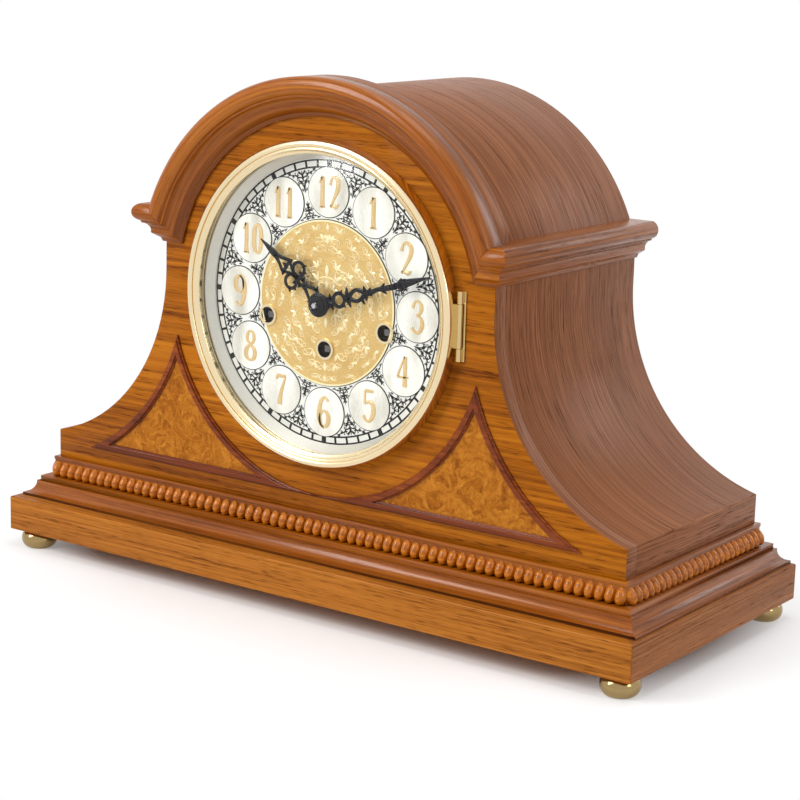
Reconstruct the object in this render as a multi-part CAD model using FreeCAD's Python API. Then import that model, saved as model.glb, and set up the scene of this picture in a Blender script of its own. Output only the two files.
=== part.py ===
"""A barrel-topped chiming mantel clock with sweeping shoulders, built piece by piece.

Millimetres. +Z is up, the dial faces -Y, and the origin is on the floor under the middle.
"""

import math
import os

import FreeCAD
import Part

os.makedirs("parts", exist_ok=True)
V = FreeCAD.Vector
ALONG_X, ALONG_Y, ALONG_Z = V(1, 0, 0), V(0, 1, 0), V(0, 0, 1)
FAR = 1000.0
SLICE = 1.0
SAME = 1e-6

# Fits
RUNNING = 0.05
AIR = 0.3
BACKLASH = 0.16

# Base
CASE_WIDTH = 500.0
CASE_DEPTH = 215.0
FOOT_HEIGHT = 13.0
FOOT_RADIUS = 12.5
FOOT_SOLE_RADIUS = 9.0
FOOT_NECK_RADIUS = 8.0
FOOT_INSET = 14.5
SCREW_RADIUS = 2.0
SCREW_HEAD_RADIUS = 3.8
SCREW_HEAD_HEIGHT = 2.6
SCREW_RECESS = 1.2
SCREW_BITE = 14.0
PLINTH_THICK = 23.3
PLINTH_EASE = 1.2
SIDE_SETBACK = 22.0
FRONT_SETBACK = 28.0
BACK_SETBACK = 20.0
COVE_HEIGHT = 13.7
COVE_LEDGE = 18.5
COVE_LIP = 1.8
COVE_TOP_OUT = 11.6
COVE_CURVE_HEIGHT = 8.4
COVE_STEP_OUT = 9.6
BEAD_HEIGHT = 10.0
BEAD_OUT = 7.6
BEAD_BACKING = 2.6
BEAD_PITCH = 7.0
BEAD_GROOVE_WIDTH = 2.2
BEAD_GROOVE_DEPTH = 3.2
CAP_HEIGHT = 4.0
CAP_OUT = 3.0

# Body
FRONT_THICK = 12.0
WALL = 8.0
NECK_HALF = 130.0
FOOT_BLOCK_HEIGHT = 19.2
DIAL_HEIGHT = 200.0
NECK_ABOVE_DIAL = 8.0
DRUM_RADIUS = 135.0
ARCH_RADIUS = 143.0
BACK_THICK = 9.0
BACK_INSET = 2.0

# Cornice and arch moulding: one profile, out from the wall and up
CORNICE_ABOVE_DIAL = 26.5
CORNICE_HEIGHT = 25.0
CORNICE_OUT = 16.5
LIP_FOOT_OUT = 1.7
LIP_OUT = 2.7
LIP_HEIGHT = 2.5
SLOPE_OUT = 7.3
SLOPE_HEIGHT = 3.0
SHELF_OUT = 11.9
SHELF_BOTTOM = 12.3
SHELF_HEIGHT = 1.2
ROLL_TOP_OUT = 12.4
COVE_STEP = 1.0
MITRE_REACH = 3.0

# Burl panels
PANEL_BEZEL_GAP = 20.0
PANEL_SWEEP_GAP = 17.5
PANEL_BOTTOM_GAP = 11.0
PANEL_THICK = 0.8
FRAME_WIDTH = 5.6
FRAME_OUT = 3.2
FRAME_STEP = 1.2

# Bezel door
BEZEL_RADIUS = 104.0
BEZEL_DEPTH = 10.0
BEZEL_LIP = 8.8
BEZEL_FLANGE = 4.6
BEZEL_EDGE = 2.0
BEZEL_ROUND = 2.6
BEZEL_CROWN = 0.6
BEZEL_STEP = 2.2
BEZEL_NOSE = 0.2
GLASS_INSET = 7.0
GLASS_THICK = 2.0
GLASS_RISE = 9.5
GLASS_SEAT = 4.6
GLASS_RIM = 2.0
GLASS_PLAY = 0.2
BEZEL_HINGE_OUT = 2.6
BEZEL_HINGE_LENGTH = 43.0
BEZEL_KNUCKLE_LENGTH = 27.0
BEZEL_KNUCKLE_RADIUS = 1.8
HINGE_PIN_RADIUS = 0.8
LEAF_THICK = 1.0
BEZEL_LEAF_REACH = 3.4
BEZEL_LEAF_THICK = 1.2
BEZEL_LEAF_LIFT = 0.4
BEZEL_LEAF_GRIP = 3.0

# Dial
OPENING_INSET = 6.0
DIAL_SINK = 5.5
DIAL_THICK = 1.5
DIAL_PLAY = 0.8
SURROUND_WIDTH = 6.5
SURROUND_WALL = 1.2
DISC_RADIUS = 15.7
DISC_RING_INSET = 21.0
DISC_THICK = 0.6
CENTRE_DISC_GAP = 1.8
DIAL_EYE = 4.0
HOURS = 12
KEY_HOLE_RADIUS = 5.2
BUSHING_RADIUS = 6.8
BUSHING_PROUD = 1.0
SIDE_ARBOR_X = 46.5
SIDE_ARBOR_DROP = 13.0
TIME_ARBOR_DROP = 29.5

# Hands
HAND_THICK = 0.9
HOUR_HAND_LENGTH = 62.0
MINUTE_HAND_LENGTH = 88.0
HOUR_HAND_ANGLE = 306.0
MINUTE_HAND_ANGLE = 72.0
HOUR_HAND_RISE = 4.6
HAND_GAP = 1.9
HAND_PIERCINGS = ((0.16, 0.27, 2.0), (0.36, 0.48, 2.2))
HOUR_HAND_WIDTHS = ((0.03, 2.4), (0.2, 4.0), (0.34, 2.8), (0.5, 7.6), (0.62, 6.0), (0.72, 2.8), (0.86, 1.4))
MINUTE_HAND_WIDTHS = (
    (0.03, 2.2),
    (0.1, 3.0),
    (0.2, 4.4),
    (0.3, 2.6),
    (0.4, 4.6),
    (0.52, 2.2),
    (0.7, 2.6),
    (0.74, 1.4),
)
NUT_RADIUS = 7.8
NUT_RIM = 0.9
NUT_HEIGHT = 4.4
NUT_DOME_HEIGHT = 3.2
NUT_BULGE_RADIUS = 6.4
NUT_BULGE_HEIGHT = 2.5
NUT_NECK_RADIUS = 3.2
NUT_TIP_RADIUS = 2.3
ARBOR_PROUD = 1.0

# Movement frame
PLATE_HALF = 73.0
PLATE_BELOW_DIAL = 60.0
PLATE_ABOVE_DIAL = 50.0
PLATE_THICK = 2.5
DIAL_TO_PLATE = 15.0
PLATE_SPACE = 47.5
PILLAR_RADIUS = 3.5
PILLAR_INSET = 6.0
POST_RADIUS = 2.5
POST_INSET = 11.0
SEAT_THICK = 10.0
SEAT_HALF = 92.0
SEAT_LEG_THICK = 10.0
SEAT_LEG_INSET = 4.0
SEAT_DEPTH = 57.0
SEAT_LEAD = 3.0

# Trains
ARBOR_RADIUS = 1.6
ADDENDUM = 0.85
DEDENDUM = 1.2
TOOTH_TIP = 0.08
WHEEL_TOOTH_ROOT = 0.26
PINION_TOOTH_ROOT = 0.2
GREAT_TEETH = 64
CENTRE_PINION_TEETH = 8
WHEEL_THICK = 3.0
PINION_LENGTH = 6.0
PLATE_CLEAR = 3.0
BARREL_RADIUS = 22.0
SIDE_BARREL_RADIUS = 18.6
BARREL_WALL = 1.4
BARREL_LENGTH = 34.0
STRIKE_TEETH = 56
CHIME_TEETH = 48
CHIME_PINION_TEETH = 8
CHIME_DISTANCE = 23.8
WINDING_RADIUS = 3.0
SQUARE_SIDE = 4.0
SQUARE_LENGTH = 12.0
SQUARE_STAND = 3.0
RATCHET_RADIUS = 8.0
RATCHET_TEETH = 20
RATCHET_THICK = 1.6
RATCHET_NOTCH = 1.4
RATCHET_SLANT = 1.0
CANNON_TEETH = 12
MINUTE_TEETH = 36
HOUR_PINION_TEETH = 10
HOUR_TEETH = 40
MOTION_DISTANCE = 12.0
CANNON_RADIUS = 2.2
HOUR_PIPE_WALL = 0.9
MOTION_WHEEL_THICK = 1.6
MOTION_CLEAR = 6.0
MOTION_STEP = 3.2
LEAF_OVERHANG = 0.4
CANNON_TAIL = 2.4
STUD_RADIUS = 1.2
STUD_PROUD = 2.4

# Chime
DRIVE_TEETH = 24
DRIVE_MODULE = 0.8
DRUM_ANGLE = 225.0
DRUM_CORE_RADIUS = 6.0
DRUM_PIN_RADIUS = 0.6
DRUM_PIN_REACH = 9.0
DRUM_PIN_TURNS = (20.0, 110.0, 200.0, 290.0)
DRUM_PIN_STAGGER = 12.0
DRIVE_WHEEL_CLEAR = 2.0
NOTES = 4
NOTE_PITCH = 9.0
FIRST_NOTE = 12.0
HAMMER_PIVOT_X = 12.0
HAMMER_BELOW_DIAL = 22.0
HAMMER_STRIKE_X = -70.0
HAMMER_ARBOR_RADIUS = 1.5
HAMMER_HUB_RADIUS = 3.6
HAMMER_ARM_THICK = 2.0
HAMMER_THICK = 6.0
HAMMER_HEAD_RADIUS = 4.5
HAMMER_HEAD_LENGTH = 16.0
HAMMER_REST_GAP = 2.0
HAMMER_ARM_DROP = 4.0
BRACKET_LEFT = 10.0
BRACKET_RIGHT = 14.0
BRACKET_BELOW = 8.0
BRACKET_ABOVE = 16.0
ROD_ABOVE_FLOOR = 34.0
ROD_RADIUS = 1.6
ROD_LONGEST = 255.0
ROD_STEP = 22.0
BLOCK_FACE_INSET = 93.0
BLOCK_LENGTH = 30.0
BLOCK_SIDE = 7.0
BLOCK_OVER = 9.0
BALANCE_X = -34.0
BALANCE_ABOVE_DIAL = 26.0
BALANCE_RADIUS = 9.0
BALANCE_THICK = 1.4
BALANCE_RIM = 1.6
BALANCE_ARM = 1.4
STAFF_RADIUS = 0.7
COCK_STAND = 8.0
COCK_THICK = 1.8
COCK_HALF = 3.0
COCK_FOOT_GAP = 6.0

# Rear door
DOOR_HALF = 95.0
DOOR_BOTTOM_GAP = 24.0
DOOR_GAP = 1.0
REAR_LEAF_HEIGHT = 28.0
REAR_LEAF_WIDTH = 11.0
REAR_KNUCKLE_RADIUS = 1.8
REAR_HINGE_UP = 24.0
REAR_HINGE_BELOW_DIAL = 18.0
REAR_HINGE_PLAY = 0.1
KNOB_RADIUS = 6.0
KNOB_BASE_RADIUS = 4.5
KNOB_NECK_RADIUS = 2.4
KNOB_TOP_RADIUS = 3.0
KNOB_LENGTH = 13.0
KNOB_NECK_LENGTH = 3.9
KNOB_BULGE_LENGTH = 8.6
KNOB_INSET = 12.0
KNOB_DROP = 20.0

# Heights and faces that follow from the sizes above
PLINTH_TOP = FOOT_HEIGHT + PLINTH_THICK
COVE_TOP = PLINTH_TOP + COVE_HEIGHT
BEAD_TOP = COVE_TOP + BEAD_HEIGHT
BODY_BOTTOM = BEAD_TOP + CAP_HEIGHT
BODY_HALF = CASE_WIDTH / 2 - SIDE_SETBACK
BODY_FRONT = FRONT_SETBACK - CASE_DEPTH / 2
BODY_BACK = CASE_DEPTH / 2 - BACK_SETBACK
BODY_DEPTH = BODY_BACK - BODY_FRONT
BODY_MIDDLE = (BODY_FRONT + BODY_BACK) / 2
PANEL_BACK = BODY_FRONT + FRONT_THICK
FOOT_BLOCK_TOP = BODY_BOTTOM + FOOT_BLOCK_HEIGHT
NECK_START = DIAL_HEIGHT + NECK_ABOVE_DIAL
SWEEP_RUN = BODY_HALF - NECK_HALF
SWEEP_RISE = NECK_START - FOOT_BLOCK_TOP
SWEEP_RADIUS = (SWEEP_RUN**2 + SWEEP_RISE**2) / (2 * SWEEP_RUN)
SWEEP_CENTRE = NECK_HALF + SWEEP_RADIUS
CORNICE_BOTTOM = DIAL_HEIGHT + CORNICE_ABOVE_DIAL
CORNICE_TOP = CORNICE_BOTTOM + CORNICE_HEIGHT
BACK_FACE = BODY_BACK - BACK_INSET
BACK_INNER = BACK_FACE - BACK_THICK
PANEL_DIAL_RADIUS = BEZEL_RADIUS + PANEL_BEZEL_GAP
GLASS_RADIUS = BEZEL_RADIUS - GLASS_INSET
OPENING_RADIUS = BEZEL_RADIUS - OPENING_INSET
SURROUND_INNER = OPENING_RADIUS - SURROUND_WIDTH
DISC_RING_RADIUS = SURROUND_INNER - DISC_RING_INSET
CENTRE_DISC_RADIUS = DISC_RING_RADIUS - DISC_RADIUS - CENTRE_DISC_GAP
DIAL_FACE = BODY_FRONT + DIAL_SINK
DIAL_BACK = DIAL_FACE + DIAL_THICK
FRONT_PLATE = DIAL_BACK + DIAL_TO_PLATE
PLATE_BOTTOM = DIAL_HEIGHT - PLATE_BELOW_DIAL
PLATE_TOP = DIAL_HEIGHT + PLATE_ABOVE_DIAL
TRAIN_FRONT = FRONT_PLATE + PLATE_THICK
TRAIN_BACK = TRAIN_FRONT + PLATE_SPACE
BACK_PLATE_REAR = TRAIN_BACK + PLATE_THICK
GREAT_WHEEL_Y = TRAIN_FRONT + PLATE_CLEAR
BARREL_Y = GREAT_WHEEL_Y + WHEEL_THICK
PINION_Y = GREAT_WHEEL_Y + (WHEEL_THICK - PINION_LENGTH) / 2
MINUTE_WHEEL_Y = FRONT_PLATE - MOTION_CLEAR
HOUR_WHEEL_Y = MINUTE_WHEEL_Y - MOTION_STEP
HOUR_HAND_Y = DIAL_FACE - HOUR_HAND_RISE
MINUTE_HAND_Y = HOUR_HAND_Y - HAND_THICK - HAND_GAP
GREAT_MODULE = 2 * TIME_ARBOR_DROP / (GREAT_TEETH + CENTRE_PINION_TEETH)
CHIME_MODULE = 2 * CHIME_DISTANCE / (CHIME_TEETH + CHIME_PINION_TEETH)
CANNON_MODULE = 2 * MOTION_DISTANCE / (CANNON_TEETH + MINUTE_TEETH)
HOUR_MODULE = 2 * MOTION_DISTANCE / (HOUR_PINION_TEETH + HOUR_TEETH)
HOUR_PIPE_RADIUS = CANNON_RADIUS + RUNNING + HOUR_PIPE_WALL
TIME_ARBOR = (0.0, DIAL_HEIGHT - TIME_ARBOR_DROP)
STRIKE_ARBOR = (-SIDE_ARBOR_X, DIAL_HEIGHT - SIDE_ARBOR_DROP)
CHIME_ARBOR = (SIDE_ARBOR_X, DIAL_HEIGHT - SIDE_ARBOR_DROP)
DIAL_CENTRE = (0.0, DIAL_HEIGHT)
MOTION_STUD = (0.0, DIAL_HEIGHT + MOTION_DISTANCE)
CHIME_DRIVE = (SIDE_ARBOR_X, CHIME_ARBOR[1] + CHIME_DISTANCE)
DRIVE_SPREAD = DRIVE_MODULE * DRIVE_TEETH
DRUM_AXIS = (
    CHIME_DRIVE[0] + DRIVE_SPREAD * math.cos(math.radians(DRUM_ANGLE)),
    CHIME_DRIVE[1] + DRIVE_SPREAD * math.sin(math.radians(DRUM_ANGLE)),
)
DRIVE_WHEEL_Y = BACK_PLATE_REAR + DRIVE_WHEEL_CLEAR
NOTE_YS = [BACK_PLATE_REAR + FIRST_NOTE + NOTE_PITCH * i for i in range(NOTES)]
BRACKET_Y = NOTE_YS[-1] + NOTE_PITCH
BEZEL_BACK = BODY_FRONT - AIR
BEZEL_AXIS = (BEZEL_RADIUS + BEZEL_HINGE_OUT, BODY_FRONT - BEZEL_KNUCKLE_RADIUS - AIR)
HAMMER_PIVOT_Z = DIAL_HEIGHT - HAMMER_BELOW_DIAL
ROD_HEIGHT = BODY_BOTTOM + ROD_ABOVE_FLOOR
BLOCK_FACE_X = BLOCK_FACE_INSET - BODY_HALF
BALANCE_Z = DIAL_HEIGHT + BALANCE_ABOVE_DIAL
DOOR_BOTTOM = BODY_BOTTOM + DOOR_BOTTOM_GAP
REAR_HINGE_LOW = DOOR_BOTTOM + REAR_HINGE_UP
REAR_HINGE_HIGH = DIAL_HEIGHT - REAR_HINGE_BELOW_DIAL
REAR_AXIS = (-DOOR_HALF - DOOR_GAP / 2, BACK_FACE + REAR_KNUCKLE_RADIUS + REAR_HINGE_PLAY)


def at_y(y):
    """Front-view coordinates (x, z) on a plane across the clock."""
    return lambda a, b: V(a, y, b)


def at_z(z):
    return lambda a, b: V(a, b, z)


def outline(points, place):
    """A closed face. An item is a corner (a, b), or a curve ((through), (end))."""
    here = points[0]
    edges = []
    for item in points[1:] + [points[0]]:
        if isinstance(item[0], tuple):
            through, end = item
            edges.append(Part.Arc(place(*here), place(*through), place(*end)).toShape())
        else:
            end = item
            if math.dist(here, end) > SAME:
                edges.append(Part.makeLine(place(*here), place(*end)))
        here = end
    return Part.Face(Part.Wire(edges))


def slab(points, y, thick):
    """A plate cut to a front-view outline, from y towards the back."""
    return outline(points, at_y(y)).extrude(V(0, thick, 0))


def box(x, y, z):
    """A block between (low, high) pairs."""
    size = [pair[1] - pair[0] for pair in (x, y, z)]
    return Part.makeBox(*size, V(x[0], y[0], z[0]))


def rod(radius, y, length, centre):
    """A round bar along Y from y towards the back, at (x, z)."""
    return Part.makeCylinder(radius, length, V(centre[0], y, centre[1]), ALONG_Y)


def ring(outer, inner, y, length, centre):
    return rod(outer, y, length, centre).cut(rod(inner, y, length, centre))


def turned_y(points, centre):
    """A piece turned about a Y axis at (x, z). Points are (radius, y)."""
    face = outline(points, lambda r, y: V(centre[0] + r, y, centre[1]))
    return face.revolve(V(centre[0], 0, centre[1]), ALONG_Y, 360)


def polar(centre, radius, degrees):
    """A front-view point at a clockwise angle from twelve."""
    turn = math.radians(degrees)
    return (centre[0] + radius * math.sin(turn), centre[1] + radius * math.cos(turn))


def mirrored(shape):
    return shape.mirror(V(0, 0, 0), ALONG_X)


def join(pieces):
    return pieces[0].fuse(pieces[1:]).removeSplitter()


NODES = {}


def save(name, shape):
    NODES[name] = shape
    shape.exportStep("parts/" + name + ".step")


# Case outline


def body_outline(inset, drum, top_start):
    """Foot, sweep, neck and barrel, moved in by inset."""
    foot = BODY_HALF - inset
    neck = NECK_HALF - inset
    reach = SWEEP_RADIUS + inset
    low = NECK_START - math.sqrt(reach**2 - (SWEEP_CENTRE - foot) ** 2)
    middle = math.atan2(NECK_START - low, SWEEP_CENTRE - foot) / 2
    bulge = (SWEEP_CENTRE - reach * math.cos(middle), NECK_START - reach * math.sin(middle))
    drum_low = DIAL_HEIGHT + math.sqrt(max(drum**2 - neck**2, 0))
    shoulder = max(top_start, drum_low)
    out = math.sqrt(drum**2 - (shoulder - DIAL_HEIGHT) ** 2)
    right = [(foot, BODY_BOTTOM), (foot, low), (bulge, (neck, NECK_START)), (neck, shoulder)]
    top = [(out, shoulder), ((0.0, DIAL_HEIGHT + drum), (-out, shoulder))]
    left = [
        (-neck, shoulder),
        (-neck, NECK_START),
        ((-bulge[0], bulge[1]), (-foot, low)),
        (-foot, BODY_BOTTOM),
    ]
    return right + top + left


def case_shell():
    """The hollow wrap behind the front: sides and barrel in one, before they are parted."""
    length = BODY_BACK - PANEL_BACK
    outer = slab(body_outline(0.0, DRUM_RADIUS, 0.0), PANEL_BACK, length)
    inner = slab(body_outline(WALL, DRUM_RADIUS - WALL, 0.0), PANEL_BACK, length)
    return outer.cut(inner)


def wall_pieces():
    shell = case_shell()
    seam = DIAL_HEIGHT + math.sqrt(DRUM_RADIUS**2 - NECK_HALF**2)
    deep = (PANEL_BACK, BODY_BACK)
    upper = box((-FAR, FAR), deep, (seam, FAR))
    save("barrel_roof", shell.common(upper))
    save("right_side", shell.common(box((0, FAR), deep, (BODY_BOTTOM, seam))))
    save("left_side", shell.common(box((-FAR, 0), deep, (BODY_BOTTOM, seam))))


def front_panel():
    """The front, wider round the arch than the barrel behind it."""
    face = slab(body_outline(0.0, ARCH_RADIUS, CORNICE_TOP), BODY_FRONT, FRONT_THICK)
    opening = rod(OPENING_RADIUS, BODY_FRONT, FRONT_THICK, DIAL_CENTRE)
    save("front_panel", face.cut(opening))


# Base


def foot_places():
    x = CASE_WIDTH / 2 - FOOT_INSET
    y = CASE_DEPTH / 2 - FOOT_INSET
    return [(sx * x, sy * y) for sx in (-1, 1) for sy in (-1, 1)]


def bun_foot(x, y):
    middle = FOOT_HEIGHT / 2
    points = [
        (0.0, 0.0),
        (FOOT_SOLE_RADIUS, 0.0),
        ((FOOT_RADIUS, middle), (FOOT_NECK_RADIUS, FOOT_HEIGHT)),
        (0.0, FOOT_HEIGHT),
    ]
    foot = outline(points, lambda r, z: V(x + r, y, z)).revolve(V(x, y, 0), ALONG_Z, 360)
    recess = Part.makeCylinder(SCREW_HEAD_RADIUS + AIR, SCREW_RECESS + SCREW_HEAD_HEIGHT, V(x, y, 0))
    return foot.cut(recess).cut(Part.makeCylinder(SCREW_RADIUS, FOOT_HEIGHT, V(x, y, 0)))


def foot_screw(x, y):
    head = Part.makeCylinder(SCREW_HEAD_RADIUS, SCREW_HEAD_HEIGHT, V(x, y, SCREW_RECESS))
    shank_length = FOOT_HEIGHT + SCREW_BITE - SCREW_RECESS
    shank = Part.makeCylinder(SCREW_RADIUS, shank_length, V(x, y, SCREW_RECESS))
    slot = box(
        (x - SCREW_HEAD_RADIUS, x + SCREW_HEAD_RADIUS),
        (y - SCREW_HEAD_HEIGHT / 4, y + SCREW_HEAD_HEIGHT / 4),
        (SCREW_RECESS, SCREW_RECESS + SCREW_HEAD_HEIGHT / 3),
    )
    return head.fuse(shank).cut(slot)


def base_pieces():
    half, deep = CASE_WIDTH / 2, CASE_DEPTH / 2
    plinth = box((-half, half), (-deep, deep), (FOOT_HEIGHT, PLINTH_TOP))
    upright = [
        e
        for e in plinth.Edges
        if abs(e.BoundBox.ZMin - PLINTH_TOP) < SAME or e.BoundBox.ZLength > PLINTH_THICK / 2
    ]
    plinth = plinth.makeFillet(PLINTH_EASE, upright)
    for x, y in foot_places():
        plinth = plinth.cut(Part.makeCylinder(SCREW_RADIUS, SCREW_BITE, V(x, y, FOOT_HEIGHT)))
    save("plinth_board", plinth)
    core = box((-BODY_HALF, BODY_HALF), (BODY_FRONT, BODY_BACK), (PLINTH_TOP, BODY_BOTTOM))
    save("base_core_board", core)
    save("bun_feet", Part.makeCompound([bun_foot(x, y) for x, y in foot_places()]))
    save("foot_screws", Part.makeCompound([foot_screw(x, y) for x, y in foot_places()]))


def cove_profile():
    """Out from the core board and up, for the lower moulding."""
    lip_top = PLINTH_TOP + COVE_LIP
    curve_top = lip_top + COVE_CURVE_HEIGHT
    middle_out = COVE_LEDGE - (COVE_LEDGE - COVE_TOP_OUT) * math.sqrt(0.5)
    middle_up = curve_top - COVE_CURVE_HEIGHT * math.sqrt(0.5)
    return [
        (0.0, PLINTH_TOP),
        (COVE_LEDGE, PLINTH_TOP),
        (COVE_LEDGE, lip_top),
        ((middle_out, middle_up), (COVE_TOP_OUT, curve_top)),
        (COVE_STEP_OUT, curve_top),
        (COVE_STEP_OUT, COVE_TOP),
        (0.0, COVE_TOP),
    ]


def bead_profile():
    """Backing, half-round bead and the cap fillet over it."""
    return [
        (0.0, COVE_TOP),
        (BEAD_BACKING, COVE_TOP),
        ((BEAD_OUT, COVE_TOP + BEAD_HEIGHT / 2), (BEAD_BACKING, BEAD_TOP)),
        (CAP_OUT, BEAD_TOP),
        (CAP_OUT, BODY_BOTTOM),
        (0.0, BODY_BOTTOM),
    ]


def mitre_keep(face, half_run, low, high, out):
    """The wedge between two 45-degree mitres, for a run along X whose wall is at y = -face."""
    points = [
        (-half_run, -face),
        (-half_run - out, -face - out),
        (half_run + out, -face - out),
        (half_run, -face),
    ]
    return outline(points, at_z(low)).extrude(V(0, 0, high - low))


def mitred_run(profile, face, half_run, groove=None):
    """One straight length on the front wall, mitred at both ends."""
    out = max(p[0][0] if isinstance(p[0], tuple) else p[0] for p in profile) + SLICE
    long = half_run + out
    solid = outline(profile, lambda p, z: V(-long, -face - p, z)).extrude(V(2 * long, 0, 0))
    if groove:
        solid = solid.cut(groove)
    low, high = profile[0][1], profile[-1][1]
    return solid.common(mitre_keep(face, half_run, low, high, out))


def bead_grooves(face, half_run):
    """The V cuts that part the half-round into beads."""
    count = round(2 * (half_run + BEAD_OUT) / BEAD_PITCH)
    pitch = 2 * (half_run + BEAD_OUT) / count
    half = BEAD_GROOVE_WIDTH / 2
    bottom = face + BEAD_OUT - BEAD_GROOVE_DEPTH
    top = face + BEAD_OUT + SLICE
    cuts = []
    for i in range(1, count):
        x = -half_run - BEAD_OUT + pitch * i
        points = [(x, -bottom), (x - half, -top), (x + half, -top)]
        cuts.append(outline(points, at_z(COVE_TOP)).extrude(V(0, 0, BEAD_HEIGHT)))
    return Part.makeCompound(cuts)


def four_sides(profile, grooved):
    """Front, back, left and right lengths of a base moulding."""
    lengths = []
    for face, half_run, turns in (
        (BODY_DEPTH / 2, BODY_HALF, (0, 180)),
        (BODY_HALF, BODY_DEPTH / 2, (90, 270)),
    ):
        groove = bead_grooves(face, half_run) if grooved else None
        run = mitred_run(profile, face, half_run, groove)
        for turn in turns:
            piece = run.copy()
            piece.rotate(V(0, 0, 0), ALONG_Z, turn)
            piece.translate(V(0, BODY_MIDDLE, 0))
            lengths.append(piece)
    return Part.makeCompound(lengths)


# Cornice and arch


def cornice_profile():
    """Out from the wall and up from the moulding's lower edge."""
    slope_top = LIP_HEIGHT + SLOPE_HEIGHT
    cove_foot = slope_top + COVE_STEP
    bend = math.sqrt(0.5)
    cove_middle = (
        SHELF_OUT - (SHELF_OUT - SLOPE_OUT) * bend,
        cove_foot + (SHELF_BOTTOM - cove_foot) * bend,
    )
    roll_bottom = SHELF_BOTTOM + SHELF_HEIGHT
    return [
        (0.0, 0.0),
        (LIP_FOOT_OUT, 0.0),
        (LIP_OUT, LIP_HEIGHT),
        (SLOPE_OUT, slope_top),
        (SLOPE_OUT, cove_foot),
        (cove_middle, (SHELF_OUT, SHELF_BOTTOM)),
        (SHELF_OUT, roll_bottom),
        ((CORNICE_OUT, (roll_bottom + CORNICE_HEIGHT) / 2), (ROLL_TOP_OUT, CORNICE_HEIGHT)),
        (0.0, CORNICE_HEIGHT),
    ]


def moved_profile(shift_out, shift_up):
    """The cornice profile with every point moved."""
    moved = []
    for item in cornice_profile():
        if isinstance(item[0], tuple):
            moved.append(tuple((p + shift_out, q + shift_up) for p, q in item))
        else:
            moved.append((item[0] + shift_out, item[1] + shift_up))
    return moved


def mitre_wedge():
    """Everything outside the mitre between the arch and the right-hand return."""
    inner = ARCH_RADIUS - CORNICE_HEIGHT
    low = (math.sqrt(inner**2 - (CORNICE_BOTTOM - DIAL_HEIGHT) ** 2), CORNICE_BOTTOM)
    high = (math.sqrt(ARCH_RADIUS**2 - (CORNICE_TOP - DIAL_HEIGHT) ** 2), CORNICE_TOP)
    run = (high[0] - low[0], high[1] - low[1])
    start = (low[0] - MITRE_REACH * run[0], low[1] - MITRE_REACH * run[1])
    end = (high[0] + MITRE_REACH * run[0], high[1] + MITRE_REACH * run[1])
    points = [start, end, (end[0] + FAR, end[1]), (end[0] + FAR, start[1])]
    return slab(points, BODY_FRONT - CORNICE_OUT - SLICE, CORNICE_OUT + SLICE)


def arch_moulding():
    inner = ARCH_RADIUS - CORNICE_HEIGHT
    face = outline(cornice_profile(), lambda p, q: V(inner + q, BODY_FRONT - p, DIAL_HEIGHT))
    whole = face.revolve(V(0, 0, DIAL_HEIGHT), ALONG_Y, 360)
    whole = whole.common(box((-FAR, FAR), (-FAR, FAR), (DIAL_HEIGHT, FAR)))
    wedge = mitre_wedge()
    return whole.cut(wedge).cut(mirrored(wedge))


def cornices(arch):
    """The side lengths with their short mitred returns onto the front."""
    top_in = NECK_HALF - math.sqrt(DRUM_RADIUS**2 - (CORNICE_TOP - DIAL_HEIGHT) ** 2) + SLICE
    profile = moved_profile(0.0, CORNICE_BOTTOM)
    profile = [(-top_in, CORNICE_BOTTOM)] + profile[1:-1] + [(-top_in, CORNICE_TOP)]
    side = outline(profile, lambda p, z: V(NECK_HALF + p, BODY_FRONT - CORNICE_OUT - SLICE, z))
    side = side.extrude(V(0, BODY_DEPTH + CORNICE_OUT + SLICE, 0))
    mitre = [
        (NECK_HALF - FAR, BODY_FRONT + FAR),
        (NECK_HALF + FAR, BODY_FRONT - FAR),
        (NECK_HALF + FAR, BODY_FRONT + FAR),
    ]
    side = side.common(outline(mitre, at_z(CORNICE_BOTTOM)).extrude(V(0, 0, CORNICE_HEIGHT)))
    profile = moved_profile(0.0, CORNICE_BOTTOM)
    front = outline(profile, lambda p, z: V(0, BODY_FRONT - p, z))
    front = front.extrude(V(NECK_HALF + CORNICE_OUT + SLICE, 0, 0)).common(mitre_wedge())
    mitre[2] = (NECK_HALF - FAR, BODY_FRONT - FAR)
    front = front.common(outline(mitre, at_z(CORNICE_BOTTOM)).extrude(V(0, 0, CORNICE_HEIGHT)))
    solid = side.fuse(front).cut(arch)
    solid = solid.cut(slab(body_outline(0.0, DRUM_RADIUS, 0.0), BODY_FRONT, BODY_DEPTH))
    solid = solid.cut(slab(body_outline(0.0, ARCH_RADIUS, CORNICE_TOP), BODY_FRONT, FRONT_THICK))
    solid = solid.removeSplitter()
    save("cornice_right", solid)
    save("cornice_left", mirrored(solid))


# Burl panels


def panel_region(grow, y, thick):
    """The right-hand three-sided field, grown outwards by grow."""
    low = BODY_BOTTOM + PANEL_BOTTOM_GAP - grow
    field = box((0, SWEEP_CENTRE), (y, y + thick), (low, DIAL_HEIGHT))
    field = field.cut(rod(PANEL_DIAL_RADIUS - grow, y, thick, DIAL_CENTRE))
    return field.cut(rod(SWEEP_RADIUS + PANEL_SWEEP_GAP - grow, y, thick, (SWEEP_CENTRE, NECK_START)))


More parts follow.
